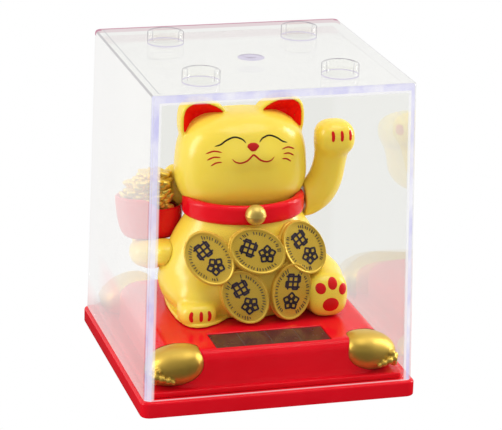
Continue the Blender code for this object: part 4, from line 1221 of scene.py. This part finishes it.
STUDS = [(-25.3, -30.7), (22.3, -30.7), (-24.8, 20.5), (23.2, 20.5)]
STUD_TOP = COVER_HIGH + 4.2
GATE_CENTRE = (-0.8, -3.5)                 # the mark left where the moulding was filled


def cover():
    def box(foot, head, low, high, corner, soft):
        return slab([(foot - 0.2, foot - 0.2, corner, low, 0.0), (foot, foot, corner, low + 0.3, 0.0)]
                    + rounded_top(head, head, corner, high, soft, least=0.3), 8)

    shell = box(COVER_FOOT, COVER_HEAD, COVER_LOW, COVER_HIGH, 2.4, 1.1)
    inner = box(COVER_FOOT - COVER_WALL + 0.06, COVER_HEAD - COVER_WALL + 0.04, COVER_LOW - 3,
                COVER_HIGH - COVER_WALL, 1.2, 0.4)
    shell = boolean(shell, inner)
    for centre in STUDS:
        ring = lathe([(6.3, COVER_HIGH - 0.8), (6.3, STUD_TOP - 0.3), (6.2, STUD_TOP - 0.08),
                      (6.0, STUD_TOP)], centre)
        ring = boolean(ring, lathe([(4.5, COVER_HIGH + 0.6), (4.65, STUD_TOP + 1)], centre))
        shell = boolean(shell, ring, "UNION")
    gate = [(4.6, -0.6), (4.6, 0.1), (3.0, 0.34), (1.6, 0.34), (1.2, 0.2)]
    gate = lathe([(radius, COVER_HIGH + rise) for radius, rise in gate], GATE_CENTRE, 32)
    shell = boolean(shell, gate, "UNION")
    finished(shell, "clear_cover_moulding", CLEAR, body="cover", node="clear_cover", sharp=30)


# ------------------------------------------------------------------ inner parts kept from CAD

def carried():
    """Gives each CAD piece that stays its own procedural finish."""
    steel = surface("screw_steel", (0.50, 0.50, 0.51), (0.62, 0.62, 0.63), 0.3, 1.0, grain=900.0,
                    grain_depth=0.00005)
    axle = surface("axle_steel", (0.55, 0.55, 0.56), (0.66, 0.66, 0.67), 0.22, 1.0)
    ivory = surface("moulded_ivory_plastic", (0.74, 0.72, 0.64), (0.80, 0.78, 0.70), 0.45,
                    ripple=0.0001)
    magnet = surface("magnet_nickel", (0.55, 0.54, 0.52), (0.64, 0.63, 0.61), 0.18, 1.0)
    weight = surface("weight_cast_iron", (0.12, 0.12, 0.125), (0.20, 0.20, 0.20), 0.55, 0.8,
                     grain=500.0, grain_depth=0.0002)
    board = surface("board_green_lacquer", (0.012, 0.11, 0.035), (0.02, 0.15, 0.05), 0.35,
                    cloud=250.0, coat=0.3)
    blob = surface("chip_black_resin", (0.01, 0.01, 0.011), (0.02, 0.02, 0.022), 0.25,
                   ripple=0.0002)
    can = surface("capacitor_sleeve", (0.02, 0.03, 0.10), (0.03, 0.04, 0.13), 0.3)
    coil = surface("coil_copper", (0.60, 0.22, 0.07), (0.70, 0.30, 0.10), 0.3, 1.0,
                   cloud=700.0, grain=2500.0, grain_depth=0.00015)
    red_wire = surface("wire_red_sleeve", (0.55, 0.01, 0.01), (0.62, 0.02, 0.02), 0.45)
    black_wire = surface("wire_black_sleeve", (0.012, 0.012, 0.012), (0.03, 0.03, 0.03), 0.45)
    wanted = {"arm_axle": axle, "axle_end_cap": ivory, "axle_frame": ivory,
              "pendulum_arm": ivory, "pendulum_magnet": magnet, "balance_weight": weight,
              "circuit_board": board, "chip_blob": blob, "storage_capacitor": can,
              "coil_bobbin": ivory, "drive_coil": coil, "solar_wire_red": red_wire,
              "solar_wire_black": black_wire}
    for name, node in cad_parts.items():
        material = steel if "screw" in name else wanted.get(name)
        if material is not None:
            node.data.materials.clear()
            node.data.materials.append(material)


# ------------------------------------------------------------------ stage

AMBIENT = 0.74                             # how bright the surround is to the surfaces it lights
THROUGH_COVER = 0.84                       # and to the camera behind the clear cover
MIRRORED = 0.99                            # and in mirror reflections from behind the object
FLOOR_REACH = 6.0                          # metres, as in the rest of the stage
LIGHTS_AIM = (0.0, 0.0, 0.06)
LIGHTS = (("top_softbox", (0.08, -0.14, 0.62), (0.42, 0.34), 1.05),
          ("left_softbox", (-0.62, 0.02, 0.26), (0.20, 0.5), 1.85),
          ("right_softbox", (0.62, 0.06, 0.28), (0.14, 0.5), 2.3))
YAW, PITCH, ROLL = (math.radians(a) for a in (15.925, 18.512, 1.429))
CAMERA_AIM, CAMERA_DISTANCE, CAMERA_LENS = (0.00158, 0.0, 0.05265), 0.85724, 176.6


def backdrop(tree, behind, dark):
    """A white surround: greyer through the cover, and in reflections dark before the object."""
    path = add(tree, "ShaderNodeLightPath").outputs
    passed = maths(tree, "GREATER_THAN", path["Transparent Depth"], 0.5)
    straight = remap(tree, passed, 0.0, 1.0, 1.0, THROUGH_COVER)
    gloss = remap(tree, behind, 0.0, 1.0, dark, MIRRORED)

    def choose(flag, value, other):
        return maths(tree, "ADD", other, times(tree, path[flag], less(tree, value, other)))

    return choose("Is Camera Ray", straight, choose("Is Glossy Ray", gloss, AMBIENT))


def floor():
    mesh = bpy.data.meshes.new("floor")
    mesh.from_pydata([(-FLOOR_REACH, -FLOOR_REACH, 0), (FLOOR_REACH, -FLOOR_REACH, 0),
                      (FLOOR_REACH, FLOOR_REACH, 0), (-FLOOR_REACH, FLOOR_REACH, 0)], [],
                     [(0, 1, 2, 3)])
    ground = added("floor", mesh)
    ground.location.z = -0.0002
    material, tree, shader = node_tree("floor_pale")
    x, y, _ = coordinates(tree, place(tree))
    off = maths(tree, "MAXIMUM", maths(tree, "ABSOLUTE", x), maths(tree, "ABSOLUTE", y))
    # In mirror reflections the floor is dark in front of the object and close round the tray's foot;
    # round the foot this is a painted contact shadow.
    behind = maths(tree, "MINIMUM", remap(tree, y, -0.05, -0.03), remap(tree, off, 0.060, 0.075))
    glow = add(tree, "ShaderNodeEmission", [(backdrop(tree, behind, 0.05), "Strength")])
    tree.links.new(glow.outputs[0], tree.nodes["Material Output"].inputs["Surface"])
    tree.nodes.remove(shader)
    material.cycles.emission_sampling = "NONE"
    mesh.materials.append(material)


def studio():
    world = bpy.data.worlds.new("studio")
    bpy.context.scene.world = world
    world.use_nodes = True
    tree = world.node_tree
    towards = coordinates(tree, add(tree, "ShaderNodeTexCoord").outputs["Generated"])["Y"]
    sky = tree.nodes["Background"].inputs
    feed(tree, (1, 1, 1), sky["Color"])
    feed(tree, backdrop(tree, remap(tree, towards, -0.6, 0.05), 0.25), sky["Strength"])
    for name, location, size, power in LIGHTS:
        data = bpy.data.lights.new(name, "AREA")
        data.shape = "RECTANGLE"
        data.size, data.size_y = size
        data.energy = power
        lamp = added(name, data)
        lamp.location = location
        lamp.rotation_euler = (Vector(LIGHTS_AIM) - lamp.location).to_track_quat("-Z", "Y").to_euler()
    bpy.context.scene.view_settings.view_transform = "Standard"


def camera():
    ahead = Vector((math.sin(YAW) * math.cos(PITCH), math.cos(YAW) * math.cos(PITCH),
                    -math.sin(PITCH)))
    right = Vector((math.cos(YAW), -math.sin(YAW), 0))
    up = right.cross(ahead)
    side = math.cos(ROLL) * right + math.sin(ROLL) * up
    over = -math.sin(ROLL) * right + math.cos(ROLL) * up
    data = bpy.data.cameras.new("camera")
    data.lens = CAMERA_LENS
    data.sensor_width = 36
    eye = added("camera", data)
    matrix = Matrix((side, over, -ahead)).transposed().to_4x4()
    matrix.translation = Vector(CAMERA_AIM) - ahead * CAMERA_DISTANCE
    eye.matrix_world = matrix
    bpy.context.scene.camera = eye


head()
face()
body()
collar()
arms()
treasure()
coins()
tray()
pedestal()
ingots()
solar()
cover()
carried()
floor()
studio()
camera()
